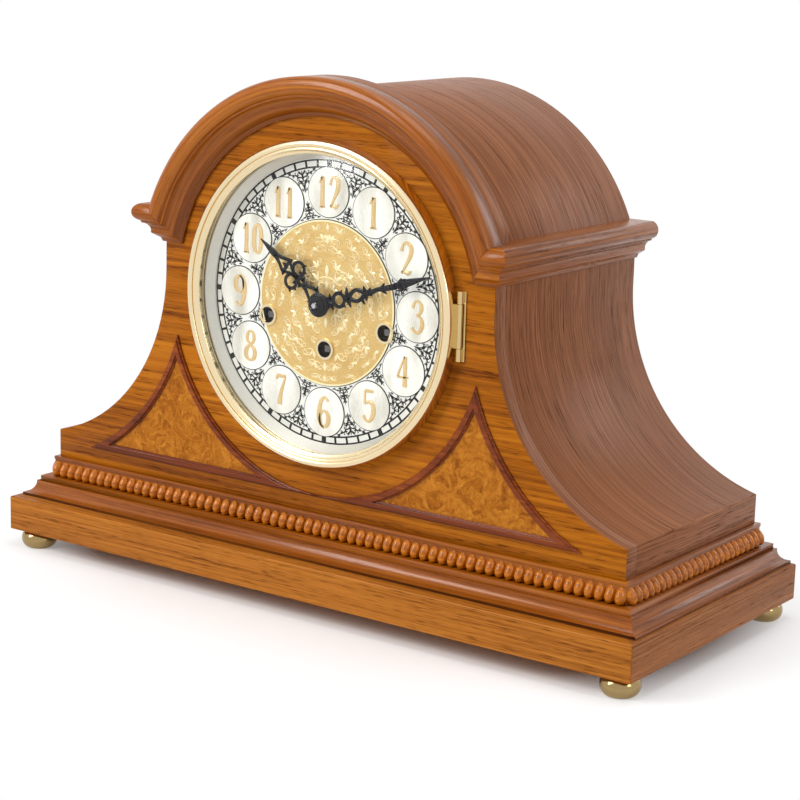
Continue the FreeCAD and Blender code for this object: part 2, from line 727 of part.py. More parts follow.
def burl_pieces():
    burl = panel_region(-FRAME_WIDTH, BODY_FRONT - PANEL_THICK, PANEL_THICK)
    save("burl_panels", Part.makeCompound([burl, mirrored(burl)]))
    side = (FRAME_WIDTH - FRAME_STEP) / 4
    lower = FRAME_OUT / 2
    wide = panel_region(0.0, BODY_FRONT - lower, lower)
    wide = wide.cut(panel_region(-FRAME_WIDTH, BODY_FRONT - lower, lower))
    narrow = panel_region(-side, BODY_FRONT - FRAME_OUT, lower)
    narrow = narrow.cut(panel_region(side - FRAME_WIDTH, BODY_FRONT - FRAME_OUT, lower))
    bead = wide.fuse(narrow).removeSplitter()
    save("panel_beads", Part.makeCompound([bead, mirrored(bead)]))


# Bezel door


def dome_arc(face):
    """A shallow ball cap over the glass, from its flat rim in to the middle."""
    flat = GLASS_RADIUS - GLASS_RIM
    ball = (flat**2 + GLASS_RISE**2) / (2 * GLASS_RISE)
    middle = flat / 2
    rise = math.sqrt(ball**2 - middle**2) - (ball - GLASS_RISE)
    return (middle, face - rise), (0.0, face - GLASS_RISE), (flat, face)


def bezel():
    front = BODY_FRONT - BEZEL_DEPTH
    flange_in = BEZEL_RADIUS - BEZEL_FLANGE
    seat = BODY_FRONT - GLASS_SEAT
    stop = seat - GLASS_THICK - GLASS_PLAY
    sight = BEZEL_RADIUS - BEZEL_LIP
    corner = (1 - math.sqrt(0.5)) * BEZEL_EDGE
    points = [
        (BEZEL_RADIUS, BEZEL_BACK),
        (BEZEL_RADIUS, front + BEZEL_EDGE),
        ((BEZEL_RADIUS - corner, front + corner), (BEZEL_RADIUS - BEZEL_ROUND, front)),
        (flange_in, front + BEZEL_CROWN),
        (flange_in, front + BEZEL_STEP),
        (sight, stop - BEZEL_NOSE),
        (sight, stop),
        (GLASS_RADIUS + GLASS_PLAY, stop),
        (GLASS_RADIUS + GLASS_PLAY, BEZEL_BACK),
    ]
    save("bezel_ring", turned_y(points, DIAL_CENTRE))
    inner_middle, inner_top, inner_rim = dome_arc(seat)
    outer_middle, outer_top, outer_rim = dome_arc(seat - GLASS_THICK)
    glass = [
        inner_top,
        (inner_middle, inner_rim),
        (GLASS_RADIUS, seat),
        (GLASS_RADIUS, seat - GLASS_THICK),
        outer_rim,
        (outer_middle, outer_top),
    ]
    save("bezel_glass", turned_y(glass, DIAL_CENTRE))


def bezel_hinge():
    """The door's leaf turns on a pin that is fixed in the case plate's knuckles."""
    x, y = BEZEL_AXIS
    low = DIAL_HEIGHT - BEZEL_HINGE_LENGTH / 2
    middle = V(x, y, DIAL_HEIGHT - BEZEL_KNUCKLE_LENGTH / 2)
    leaf_back = y - BEZEL_LEAF_LIFT
    leaf = box(
        (x - BEZEL_HINGE_OUT - BEZEL_LEAF_GRIP, x),
        (leaf_back - BEZEL_LEAF_THICK, leaf_back),
        (middle.z, middle.z + BEZEL_KNUCKLE_LENGTH),
    )
    leaf = leaf.fuse(Part.makeCylinder(BEZEL_KNUCKLE_RADIUS, BEZEL_KNUCKLE_LENGTH, middle))
    leaf = leaf.cut(Part.makeCylinder(HINGE_PIN_RADIUS + RUNNING, BEZEL_KNUCKLE_LENGTH, middle))
    leaf = leaf.cut(rod(BEZEL_RADIUS, BODY_FRONT - BEZEL_DEPTH, BEZEL_DEPTH, DIAL_CENTRE))
    save("bezel_hinge_leaf", leaf)
    end = (BEZEL_HINGE_LENGTH - BEZEL_KNUCKLE_LENGTH) / 2 - AIR
    high = low + BEZEL_HINGE_LENGTH - end
    face = (BODY_FRONT - LEAF_THICK, BODY_FRONT)
    plate = box((x, x + BEZEL_LEAF_REACH), face, (low, low + BEZEL_HINGE_LENGTH))
    plate = plate.cut(box((x, x + BEZEL_KNUCKLE_RADIUS + AIR), face, (low + end, high)))
    pieces = [plate, Part.makeCylinder(HINGE_PIN_RADIUS, BEZEL_HINGE_LENGTH, V(x, y, low))]
    for z in (low, high):
        pieces.append(Part.makeCylinder(BEZEL_KNUCKLE_RADIUS, end, V(x, y, z)))
        pieces.append(box((x, x + BEZEL_KNUCKLE_RADIUS), (y, BODY_FRONT), (z, z + end)))
    save("bezel_hinge_plate", join(pieces))


# Dial


def key_holes():
    return (TIME_ARBOR, STRIKE_ARBOR, CHIME_ARBOR)


def dial_pieces():
    plate_radius = OPENING_RADIUS - DIAL_PLAY
    plate = rod(plate_radius, DIAL_FACE, DIAL_THICK, DIAL_CENTRE)
    plate = plate.cut(rod(DIAL_EYE, DIAL_FACE, DIAL_THICK, DIAL_CENTRE))
    for centre in key_holes():
        plate = plate.cut(rod(BUSHING_RADIUS, DIAL_FACE, DIAL_THICK, centre))
    save("dial_plate", plate)
    rise = BODY_FRONT + AIR
    surround = [
        (plate_radius, DIAL_FACE),
        (plate_radius, rise),
        (plate_radius - SURROUND_WALL, rise),
        (SURROUND_INNER, DIAL_FACE - SURROUND_WALL / 2),
        (SURROUND_INNER, DIAL_FACE),
    ]
    save("dial_surround", turned_y(surround, DIAL_CENTRE))
    face = DIAL_FACE - DISC_THICK
    discs = [
        rod(DISC_RADIUS, face, DISC_THICK, polar(DIAL_CENTRE, DISC_RING_RADIUS, 360 / HOURS * hour))
        for hour in range(HOURS)
    ]
    save("numeral_discs", Part.makeCompound(discs))
    centre_disc = ring(CENTRE_DISC_RADIUS, DIAL_EYE, face, DISC_THICK, DIAL_CENTRE)
    for centre in key_holes():
        centre_disc = centre_disc.cut(rod(BUSHING_RADIUS, face, DISC_THICK, centre))
    save("dial_centre", centre_disc)
    proud = DIAL_FACE - DISC_THICK - BUSHING_PROUD
    bushings = [
        ring(BUSHING_RADIUS, KEY_HOLE_RADIUS, proud, DIAL_BACK - proud, centre) for centre in key_holes()
    ]
    save("winding_bushings", Part.makeCompound(bushings))
    posts = [rod(POST_RADIUS, DIAL_BACK, DIAL_TO_PLATE, centre) for centre in corner_places(POST_INSET)]
    save("dial_posts", Part.makeCompound(posts))


# Hands


def hand_blade(length, angle, y, eye, widths):
    """A flat pierced hand. Widths are (distance, half width) out from the hub."""
    edge = [(w, d * length) for d, w in widths]
    other = [(-w, d * length) for d, w in reversed(widths)]
    blade = slab(edge + [(0.0, length)] + other, 0.0, HAND_THICK)
    blade = blade.fuse(rod(NUT_RADIUS, 0.0, HAND_THICK, (0.0, 0.0)))
    for low, high, half in HAND_PIERCINGS:
        middle = (low + high) / 2 * length
        points = [(0.0, low * length), (half, middle), (0.0, high * length), (-half, middle)]
        blade = blade.cut(slab(points, 0.0, HAND_THICK))
    blade = blade.cut(rod(eye, 0.0, HAND_THICK, (0.0, 0.0)))
    blade.rotate(V(0, 0, 0), ALONG_Y, angle)
    blade.translate(V(0, y - HAND_THICK, DIAL_HEIGHT))
    return blade


def hands():
    minute = hand_blade(
        MINUTE_HAND_LENGTH, MINUTE_HAND_ANGLE, MINUTE_HAND_Y, ARBOR_RADIUS, MINUTE_HAND_WIDTHS
    )
    save("minute_hand", minute)
    hour = hand_blade(HOUR_HAND_LENGTH, HOUR_HAND_ANGLE, HOUR_HAND_Y, HOUR_PIPE_RADIUS, HOUR_HAND_WIDTHS)
    save("hour_hand", hour)
    back = MINUTE_HAND_Y - HAND_THICK
    points = [
        (ARBOR_RADIUS, back),
        (NUT_RADIUS, back),
        (NUT_RADIUS, back - NUT_RIM),
        ((NUT_BULGE_RADIUS, back - NUT_BULGE_HEIGHT), (NUT_NECK_RADIUS, back - NUT_DOME_HEIGHT)),
        (NUT_TIP_RADIUS, back - NUT_HEIGHT),
        (ARBOR_RADIUS, back - NUT_HEIGHT),
    ]
    save("hand_nut", turned_y(points, DIAL_CENTRE))


# Movement


def corner_places(inset):
    """Front-view points near the plates' corners."""
    x = PLATE_HALF - inset
    return [(sx * x, z) for sx in (-1, 1) for z in (PLATE_BOTTOM + inset, PLATE_TOP - inset)]


def toothed(teeth, module, y, thick, centre, phase=0.0, root=WHEEL_TOOTH_ROOT):
    """A spur wheel. Phase is the angle of one tooth, anticlockwise from +X."""
    pitch_radius = module * teeth / 2
    inner = pitch_radius - DEDENDUM * module
    outer = pitch_radius + ADDENDUM * module
    step = 2 * math.pi / teeth
    corners = ((-root, inner), (-TOOTH_TIP, outer), (TOOTH_TIP, outer), (root, inner))
    points = []
    for i in range(teeth):
        middle = math.radians(phase) + step * i
        for share, radius in corners:
            turn = middle + share * step * (1 - BACKLASH)
            points.append((centre[0] + radius * math.cos(turn), centre[1] + radius * math.sin(turn)))
    return slab(points, y, thick)


def direction(start, end):
    return math.degrees(math.atan2(end[1] - start[1], end[0] - start[0]))


def meshed(start, end, teeth):
    """The follower's phase when the driver points a tooth straight at it."""
    return direction(end, start) + 180.0 / teeth


def plates():
    bores = [(DIAL_CENTRE, ARBOR_RADIUS), (CHIME_DRIVE, ARBOR_RADIUS)]
    bores += [(centre, WINDING_RADIUS) for centre in key_holes()]
    height = (PLATE_BOTTOM, PLATE_TOP)
    front = box((-PLATE_HALF, PLATE_HALF), (FRONT_PLATE, TRAIN_FRONT), height)
    back = box((-PLATE_HALF, PLATE_HALF), (TRAIN_BACK, BACK_PLATE_REAR), height)
    extra = [(DRUM_AXIS, ARBOR_RADIUS), ((BALANCE_X, BALANCE_Z), STAFF_RADIUS)]
    for centre, radius in bores:
        front = front.cut(rod(radius + RUNNING, FRONT_PLATE, PLATE_THICK, centre))
    for centre, radius in bores + extra:
        back = back.cut(rod(radius + RUNNING, TRAIN_BACK, PLATE_THICK, centre))
    stud_length = FRONT_PLATE - HOUR_WHEEL_Y + STUD_PROUD
    stud = rod(STUD_RADIUS, FRONT_PLATE - stud_length, stud_length, MOTION_STUD)
    save("movement_front_plate", front.fuse(stud).removeSplitter())
    save("movement_back_plate", back)
    corners = corner_places(PILLAR_INSET)
    pillars = [rod(PILLAR_RADIUS, TRAIN_FRONT, PLATE_SPACE, centre) for centre in corners]
    save("movement_pillars", Part.makeCompound(pillars))


def seat():
    deep = (FRONT_PLATE - SEAT_LEAD, FRONT_PLATE - SEAT_LEAD + SEAT_DEPTH)
    low = PLATE_BOTTOM - SEAT_THICK
    save("seat_board", box((-SEAT_HALF, SEAT_HALF), deep, (low, PLATE_BOTTOM)))
    outer = SEAT_HALF - SEAT_LEG_INSET
    leg = box((outer - SEAT_LEG_THICK, outer), deep, (BODY_BOTTOM, low))
    save("seat_legs", Part.makeCompound([leg, mirrored(leg)]))


def barrel(teeth, module, radius, centre, phase):
    """A great wheel with its closed drum, bored for the winding arbor."""
    wheel = toothed(teeth, module, GREAT_WHEEL_Y, WHEEL_THICK, centre, phase)
    drum = rod(radius, BARREL_Y, BARREL_LENGTH, centre)
    hollow = BARREL_LENGTH - 2 * BARREL_WALL
    drum = drum.cut(rod(radius - BARREL_WALL, BARREL_Y + BARREL_WALL, hollow, centre))
    solid = wheel.fuse(drum)
    bore = BARREL_LENGTH + WHEEL_THICK
    return solid.cut(rod(WINDING_RADIUS + RUNNING, GREAT_WHEEL_Y, bore, centre)).removeSplitter()


def winding_arbor(centre):
    """A round arbor with a ratchet and a square end that the key turns."""
    shoulder = FRONT_PLATE - SQUARE_STAND
    tail = rod(WINDING_RADIUS, shoulder, BACK_PLATE_REAR - shoulder, centre)
    half = SQUARE_SIDE / 2
    square = box(
        (centre[0] - half, centre[0] + half),
        (shoulder - SQUARE_LENGTH, shoulder),
        (centre[1] - half, centre[1] + half),
    )
    points = []
    for i in range(RATCHET_TEETH):
        turn = 360 / RATCHET_TEETH * i
        points.append(polar(centre, RATCHET_RADIUS, turn))
        points.append(polar(centre, RATCHET_RADIUS - RATCHET_NOTCH, turn + RATCHET_SLANT))
    ratchet = slab(points, FRONT_PLATE - AIR - RATCHET_THICK, RATCHET_THICK)
    return join([tail, square, ratchet])


def trains():
    great_phase = direction(TIME_ARBOR, DIAL_CENTRE)
    save("time_barrel", barrel(GREAT_TEETH, GREAT_MODULE, BARREL_RADIUS, TIME_ARBOR, great_phase))
    chime_phase = direction(CHIME_ARBOR, CHIME_DRIVE)
    save("chime_barrel", barrel(CHIME_TEETH, CHIME_MODULE, SIDE_BARREL_RADIUS, CHIME_ARBOR, chime_phase))
    strike_module = CHIME_MODULE * CHIME_TEETH / STRIKE_TEETH
    save("strike_barrel", barrel(STRIKE_TEETH, strike_module, SIDE_BARREL_RADIUS, STRIKE_ARBOR, 0.0))
    save("time_winding_arbor", winding_arbor(TIME_ARBOR))
    save("strike_winding_arbor", winding_arbor(STRIKE_ARBOR))
    save("chime_winding_arbor", winding_arbor(CHIME_ARBOR))


def pinion_leaf(teeth, module, y, length, centre, phase):
    return toothed(teeth, module, y, length, centre, phase, PINION_TOOTH_ROOT)


def motion_work():
    """Centre arbor with its cannon, the minute wheel, and the hour wheel on its pipe."""
    tip = MINUTE_HAND_Y - HAND_THICK - NUT_HEIGHT - ARBOR_PROUD
    pinion_phase = meshed(TIME_ARBOR, DIAL_CENTRE, CENTRE_PINION_TEETH)
    cannon_length = MINUTE_WHEEL_Y + CANNON_TAIL - MINUTE_HAND_Y
    leaf_length = MOTION_WHEEL_THICK + 2 * LEAF_OVERHANG
    leaf_y = MINUTE_WHEEL_Y - LEAF_OVERHANG
    centre_arbor = [
        rod(ARBOR_RADIUS, tip, BACK_PLATE_REAR - tip, DIAL_CENTRE),
        pinion_leaf(CENTRE_PINION_TEETH, GREAT_MODULE, PINION_Y, PINION_LENGTH, DIAL_CENTRE, pinion_phase),
        rod(CANNON_RADIUS, MINUTE_HAND_Y, cannon_length, DIAL_CENTRE),
        pinion_leaf(CANNON_TEETH, CANNON_MODULE, leaf_y, leaf_length, DIAL_CENTRE, 90.0),
    ]
    save("centre_arbor", join(centre_arbor))
    phase = meshed(DIAL_CENTRE, MOTION_STUD, MINUTE_TEETH)
    wheel = toothed(MINUTE_TEETH, CANNON_MODULE, MINUTE_WHEEL_Y, MOTION_WHEEL_THICK, MOTION_STUD, phase)
    leaf_y = HOUR_WHEEL_Y - LEAF_OVERHANG
    leaf_length = MINUTE_WHEEL_Y - leaf_y
    leaf = pinion_leaf(HOUR_PINION_TEETH, HOUR_MODULE, leaf_y, leaf_length, MOTION_STUD, -90.0)
    bore = rod(STUD_RADIUS + RUNNING, leaf_y, leaf_length + MOTION_WHEEL_THICK, MOTION_STUD)
    save("minute_wheel", wheel.fuse(leaf).cut(bore).removeSplitter())
    phase = meshed(MOTION_STUD, DIAL_CENTRE, HOUR_TEETH)
    wheel = toothed(HOUR_TEETH, HOUR_MODULE, HOUR_WHEEL_Y, MOTION_WHEEL_THICK, DIAL_CENTRE, phase)
    front = HOUR_HAND_Y - HAND_THICK
    pipe_length = HOUR_WHEEL_Y + MOTION_WHEEL_THICK - front
    pipe = rod(HOUR_PIPE_RADIUS, front, pipe_length, DIAL_CENTRE)
    bore = rod(CANNON_RADIUS + RUNNING, front, pipe_length, DIAL_CENTRE)
    save("hour_wheel", wheel.fuse(pipe).cut(bore).removeSplitter())


# Chime work


def chime_train():
    length = DRIVE_WHEEL_Y + WHEEL_THICK - FRONT_PLATE
    pinion_phase = meshed(CHIME_ARBOR, CHIME_DRIVE, CHIME_PINION_TEETH)
    drive_phase = direction(CHIME_DRIVE, DRUM_AXIS)
    drive = [
        rod(ARBOR_RADIUS, FRONT_PLATE, length, CHIME_DRIVE),
        pinion_leaf(CHIME_PINION_TEETH, CHIME_MODULE, PINION_Y, PINION_LENGTH, CHIME_DRIVE, pinion_phase),
        toothed(DRIVE_TEETH, DRIVE_MODULE, DRIVE_WHEEL_Y, WHEEL_THICK, CHIME_DRIVE, drive_phase),
    ]
    save("chime_drive_arbor", join(drive))
    phase = meshed(CHIME_DRIVE, DRUM_AXIS, DRIVE_TEETH)
    core_start = DRIVE_WHEEL_Y + WHEEL_THICK
    drum = [
        toothed(DRIVE_TEETH, DRIVE_MODULE, DRIVE_WHEEL_Y, WHEEL_THICK, DRUM_AXIS, phase),
        rod(DRUM_CORE_RADIUS, core_start, BRACKET_Y - AIR - core_start, DRUM_AXIS),
        rod(ARBOR_RADIUS, TRAIN_BACK, BRACKET_Y + PLATE_THICK - TRAIN_BACK, DRUM_AXIS),
    ]
    for i, y in enumerate(NOTE_YS):
        for turn in DRUM_PIN_TURNS:
            spot = math.radians(turn + DRUM_PIN_STAGGER * i)
            pin = Part.makeCylinder(
                DRUM_PIN_RADIUS,
                DRUM_PIN_REACH,
                V(DRUM_AXIS[0], y, DRUM_AXIS[1]),
                V(math.cos(spot), 0, math.sin(spot)),
            )
            drum.append(pin)
    save("chime_drum", join(drum))


def hammer(y):
    """One lever: a head over its rod, a hub on the arbor and a tail near the drum."""
    pivot = (HAMMER_PIVOT_X, HAMMER_PIVOT_Z)
    head_bottom = ROD_HEIGHT + ROD_RADIUS + HAMMER_REST_GAP
    head_top = head_bottom + HAMMER_HEAD_LENGTH
    toward = (DRUM_AXIS[0] - pivot[0], DRUM_AXIS[1] - pivot[1])
    reach = math.hypot(*toward) - DRUM_PIN_REACH - 2 * AIR
    scale = reach / math.hypot(*toward)
    tail_end = (pivot[0] + toward[0] * scale, pivot[1] + toward[1] * scale)
    foot = V(HAMMER_STRIKE_X, y, head_bottom)
    lever = join(
        [
            strip(pivot, (HAMMER_STRIKE_X, head_top - HAMMER_ARM_DROP), y),
            strip(pivot, tail_end, y),
            rod(HAMMER_HUB_RADIUS, y - HAMMER_THICK / 2, HAMMER_THICK, pivot),
            Part.makeCylinder(HAMMER_HEAD_RADIUS, HAMMER_HEAD_LENGTH, foot),
        ]
    )
    bore = rod(HAMMER_ARBOR_RADIUS + RUNNING, y - HAMMER_THICK / 2, HAMMER_THICK, pivot)
    return lever.cut(bore)


def strip(start, end, y):
    """A flat bar between two front-view points."""
    run = math.hypot(end[0] - start[0], end[1] - start[1])
    grow = HAMMER_ARM_THICK / run
    side = ((end[1] - start[1]) * grow, (start[0] - end[0]) * grow)
    points = [
        (start[0] - side[0], start[1] - side[1]),
        (start[0] + side[0], start[1] + side[1]),
        (end[0] + side[0], end[1] + side[1]),
        (end[0] - side[0], end[1] - side[1]),
    ]
    return slab(points, y - HAMMER_ARM_THICK / 2, HAMMER_ARM_THICK)


def chime_pieces():
    for i, y in enumerate(NOTE_YS):
        save("chime_hammer_" + str(i + 1), hammer(y))
    pivot = (HAMMER_PIVOT_X, HAMMER_PIVOT_Z)
    x = (HAMMER_PIVOT_X - BRACKET_LEFT, DRUM_AXIS[0] + BRACKET_RIGHT)
    z = (HAMMER_PIVOT_Z - BRACKET_BELOW, DRUM_AXIS[1] + BRACKET_ABOVE)
    plate = box(x, (BRACKET_Y, BRACKET_Y + PLATE_THICK), z)
    plate = plate.cut(rod(ARBOR_RADIUS + RUNNING, BRACKET_Y, PLATE_THICK, DRUM_AXIS))
    span = BRACKET_Y - BACK_PLATE_REAR
    pieces = [
        plate,
        rod(HAMMER_ARBOR_RADIUS, BACK_PLATE_REAR, span, pivot),
        rod(PILLAR_RADIUS, BACK_PLATE_REAR, span, (x[0] + PILLAR_RADIUS, z[1] - PILLAR_RADIUS)),
        rod(PILLAR_RADIUS, BACK_PLATE_REAR, span, (x[1] - PILLAR_RADIUS, z[0] + PILLAR_RADIUS)),
    ]
    save("chime_bracket", join(pieces))
    rods = []
    for i, y in enumerate(NOTE_YS):
        length = ROD_LONGEST - ROD_STEP * i
        rods.append(Part.makeCylinder(ROD_RADIUS, length, V(BLOCK_FACE_X, y, ROD_HEIGHT), ALONG_X))
    save("chime_rods", Part.makeCompound(rods))
    block = box(
        (BLOCK_FACE_X - BLOCK_LENGTH, BLOCK_FACE_X),
        (NOTE_YS[0] - BLOCK_SIDE, NOTE_YS[-1] + BLOCK_SIDE),
        (BODY_BOTTOM, ROD_HEIGHT + BLOCK_OVER),
    )
    save("chime_rod_block", block)


def balance():
    """The wheel that swings, and the cock that carries its outer pivot."""
    centre = (BALANCE_X, BALANCE_Z)
    wheel_y = BACK_PLATE_REAR + COCK_STAND / 2
    rim_middle = BALANCE_RADIUS - BALANCE_RIM / 2
    rim = ring(BALANCE_RADIUS, BALANCE_RADIUS - BALANCE_RIM, wheel_y, BALANCE_THICK, centre)
    arm = box(
        (BALANCE_X - rim_middle, BALANCE_X + rim_middle),
        (wheel_y, wheel_y + BALANCE_THICK),
        (BALANCE_Z - BALANCE_ARM / 2, BALANCE_Z + BALANCE_ARM / 2),
    )
    staff = rod(STAFF_RADIUS, TRAIN_BACK, PLATE_THICK + COCK_STAND + COCK_THICK, centre)
    save("balance_wheel", join([rim, arm, staff]))
    foot = BALANCE_X - BALANCE_RADIUS - COCK_FOOT_GAP
    stand_off = BACK_PLATE_REAR + COCK_STAND
    height = (BALANCE_Z - COCK_HALF, BALANCE_Z + COCK_HALF)
    cock = box((foot - COCK_HALF, BALANCE_X + COCK_HALF), (stand_off, stand_off + COCK_THICK), height)
    stand = box((foot - COCK_HALF, foot + COCK_HALF), (BACK_PLATE_REAR, stand_off), height)
    bore = rod(STAFF_RADIUS + RUNNING, stand_off, COCK_THICK, centre)
    save("balance_cock", cock.fuse(stand).cut(bore).removeSplitter())


# Back


def door_outline(grow):
    """A round-topped opening."""
    half = DOOR_HALF + grow
    low = DOOR_BOTTOM - grow
    return [
        (-half, low),
        (half, low),
        (half, DIAL_HEIGHT),
        ((0.0, DIAL_HEIGHT + half), (-half, DIAL_HEIGHT)),
    ]


def back_pieces():
    board = slab(body_outline(WALL, DRUM_RADIUS - WALL, 0.0), BACK_INNER, BACK_THICK)
    save("back_panel", board.cut(slab(door_outline(DOOR_GAP), BACK_INNER, BACK_THICK)))
    save("rear_door", slab(door_outline(0.0), BACK_INNER, BACK_THICK))
    x, y = DOOR_HALF - KNOB_INSET, BACK_FACE
    points = [
        (0.0, y),
        (KNOB_BASE_RADIUS, y),
        (KNOB_NECK_RADIUS, y + KNOB_NECK_LENGTH),
        ((KNOB_RADIUS, y + KNOB_BULGE_LENGTH), (KNOB_TOP_RADIUS, y + KNOB_LENGTH)),
        (0.0, y + KNOB_LENGTH),
    ]
    save("rear_door_knob", turned_y(points, (x, DIAL_HEIGHT - KNOB_DROP)))


def rear_hinges():
    """Two butt hinges. The pin is fixed in the case leaf's knuckles."""
    x, y = REAR_AXIS
    third = REAR_LEAF_HEIGHT / 3
    case_leaves, door_leaves = [], []
    for low in (REAR_HINGE_LOW, REAR_HINGE_HIGH):
        face = (BACK_FACE, BACK_FACE + LEAF_THICK)
        clear = REAR_KNUCKLE_RADIUS + AIR
        tall = (low, low + REAR_LEAF_HEIGHT)
        middle = (low + third, low + 2 * third)
        case = [box((x - REAR_LEAF_WIDTH, x - clear), face, tall)]
        case.append(Part.makeCylinder(HINGE_PIN_RADIUS, REAR_LEAF_HEIGHT, V(x, y, low)))
        for z in (low, low + 2 * third + AIR):
            height = third - AIR
            case.append(Part.makeCylinder(REAR_KNUCKLE_RADIUS, height, V(x, y, z)))
            case.append(box((x - clear, x), face, (z, z + height)))
        case_leaves.append(join(case))
        door = [box((x + clear, x + REAR_LEAF_WIDTH), face, tall)]
        door.append(Part.makeCylinder(REAR_KNUCKLE_RADIUS, third, V(x, y, middle[0])))
        door.append(box((x, x + clear), face, middle))
        bore = Part.makeCylinder(HINGE_PIN_RADIUS + RUNNING, third, V(x, y, middle[0]))
        door_leaves.append(join(door).cut(bore))
    save("rear_hinge_case_leaves", Part.makeCompound(case_leaves))
    save("rear_hinge_door_leaves", Part.makeCompound(door_leaves))


base_pieces()
save("base_cove_moulding", four_sides(cove_profile(), False))
save("base_bead_moulding", four_sides(bead_profile(), True))
wall_pieces()
front_panel()
arch = arch_moulding()
save("arch_moulding", arch)
cornices(arch)
burl_pieces()
bezel()
bezel_hinge()
dial_pieces()
hands()
plates()
seat()
trains()
motion_work()
chime_train()
chime_pieces()
balance()
back_pieces()
rear_hinges()

for name, shape in NODES.items():
    if not shape.isValid():
        print("not valid:", name)
    if len(shape.Solids) != len(shape.Shells):
        print("solids and shells differ:", name, len(shape.Solids), len(shape.Shells))
print(len(NODES), "nodes")
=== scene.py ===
"""A barrel-topped chiming mantel clock in honey oak, with a gilt and silvered dial.

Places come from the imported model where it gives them. Sizes are in millimetres, and the
finished pieces are in metres. A dial place is (x, up) from the dial's middle.
"""

import math
import random

import bmesh
import bpy
from mathutils import Matrix, Vector


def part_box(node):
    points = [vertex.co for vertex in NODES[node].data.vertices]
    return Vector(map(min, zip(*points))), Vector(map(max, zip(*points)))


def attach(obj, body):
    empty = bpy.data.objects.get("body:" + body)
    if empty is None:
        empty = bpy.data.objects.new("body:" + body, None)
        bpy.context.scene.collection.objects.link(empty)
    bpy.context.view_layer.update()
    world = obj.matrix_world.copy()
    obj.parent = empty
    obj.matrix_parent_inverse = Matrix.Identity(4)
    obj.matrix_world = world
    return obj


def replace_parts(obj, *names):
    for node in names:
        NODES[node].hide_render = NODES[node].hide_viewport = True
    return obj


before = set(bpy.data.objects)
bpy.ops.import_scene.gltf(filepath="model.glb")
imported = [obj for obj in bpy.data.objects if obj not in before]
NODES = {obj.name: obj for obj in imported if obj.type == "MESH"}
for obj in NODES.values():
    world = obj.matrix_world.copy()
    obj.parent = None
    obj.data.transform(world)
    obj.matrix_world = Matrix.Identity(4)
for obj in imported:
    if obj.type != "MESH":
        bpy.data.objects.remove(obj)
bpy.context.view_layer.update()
MM = 0.001


def low(node):
    return [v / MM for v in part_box(node)[0]]


def high(node):
    return [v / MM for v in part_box(node)[1]]


DIAL_Z = (low("dial_plate")[2] + high("dial_plate")[2]) / 2
DIAL_FACE = low("dial_plate")[1]
DISC_FACE = low("numeral_discs")[1]
BODY_FRONT = low("base_core_board")[1]
BODY_BACK = high("base_core_board")[1]
BODY_MIDDLE = (BODY_FRONT + BODY_BACK) / 2
BODY_HALF = high("base_core_board")[0]
BODY_DEEP_HALF = (BODY_BACK - BODY_FRONT) / 2
BEAD_LOW = low("base_bead_moulding")[2]
BEAD_HIGH = high("base_bead_moulding")[2]
BEAD_OUT = high("base_bead_moulding")[0] - BODY_HALF
BEZEL_RADIUS = high("bezel_ring")[0]
CENTRE_RADIUS = high("dial_centre")[0]
NUMERAL_DISC = 15.7
DISC_RING = high("numeral_discs")[0] - NUMERAL_DISC
HOUR_ANGLE = 306.0
MINUTE_ANGLE = 72.0


# Shader maths

# Where the Mix node keeps its two colours, and its mixed one.
MIX_FIRST, MIX_SECOND, MIX_RESULT = 6, 7, 2


class Value:
    """A number in a material. Arithmetic on it adds Math nodes."""

    def __init__(self, paint, socket):
        self.paint = paint
        self.socket = socket

    def maths(self, operation, *others):
        inputs = {i: item for i, item in enumerate((self, *others))}
        return self.paint.node("ShaderNodeMath", {"operation": operation}, inputs)

    def __add__(self, other):
        return self.maths("ADD", other)

    def __sub__(self, other):
        return self.maths("SUBTRACT", other)

    def __rsub__(self, other):
        return self.paint.node("ShaderNodeMath", {"operation": "SUBTRACT"}, {0: other, 1: self})

    def __mul__(self, other):
        return self.maths("MULTIPLY", other)

    def __gt__(self, other):
        return self.maths("GREATER_THAN", other)

    def __abs__(self):
        return self.maths("ABSOLUTE")

    __rmul__ = __mul__


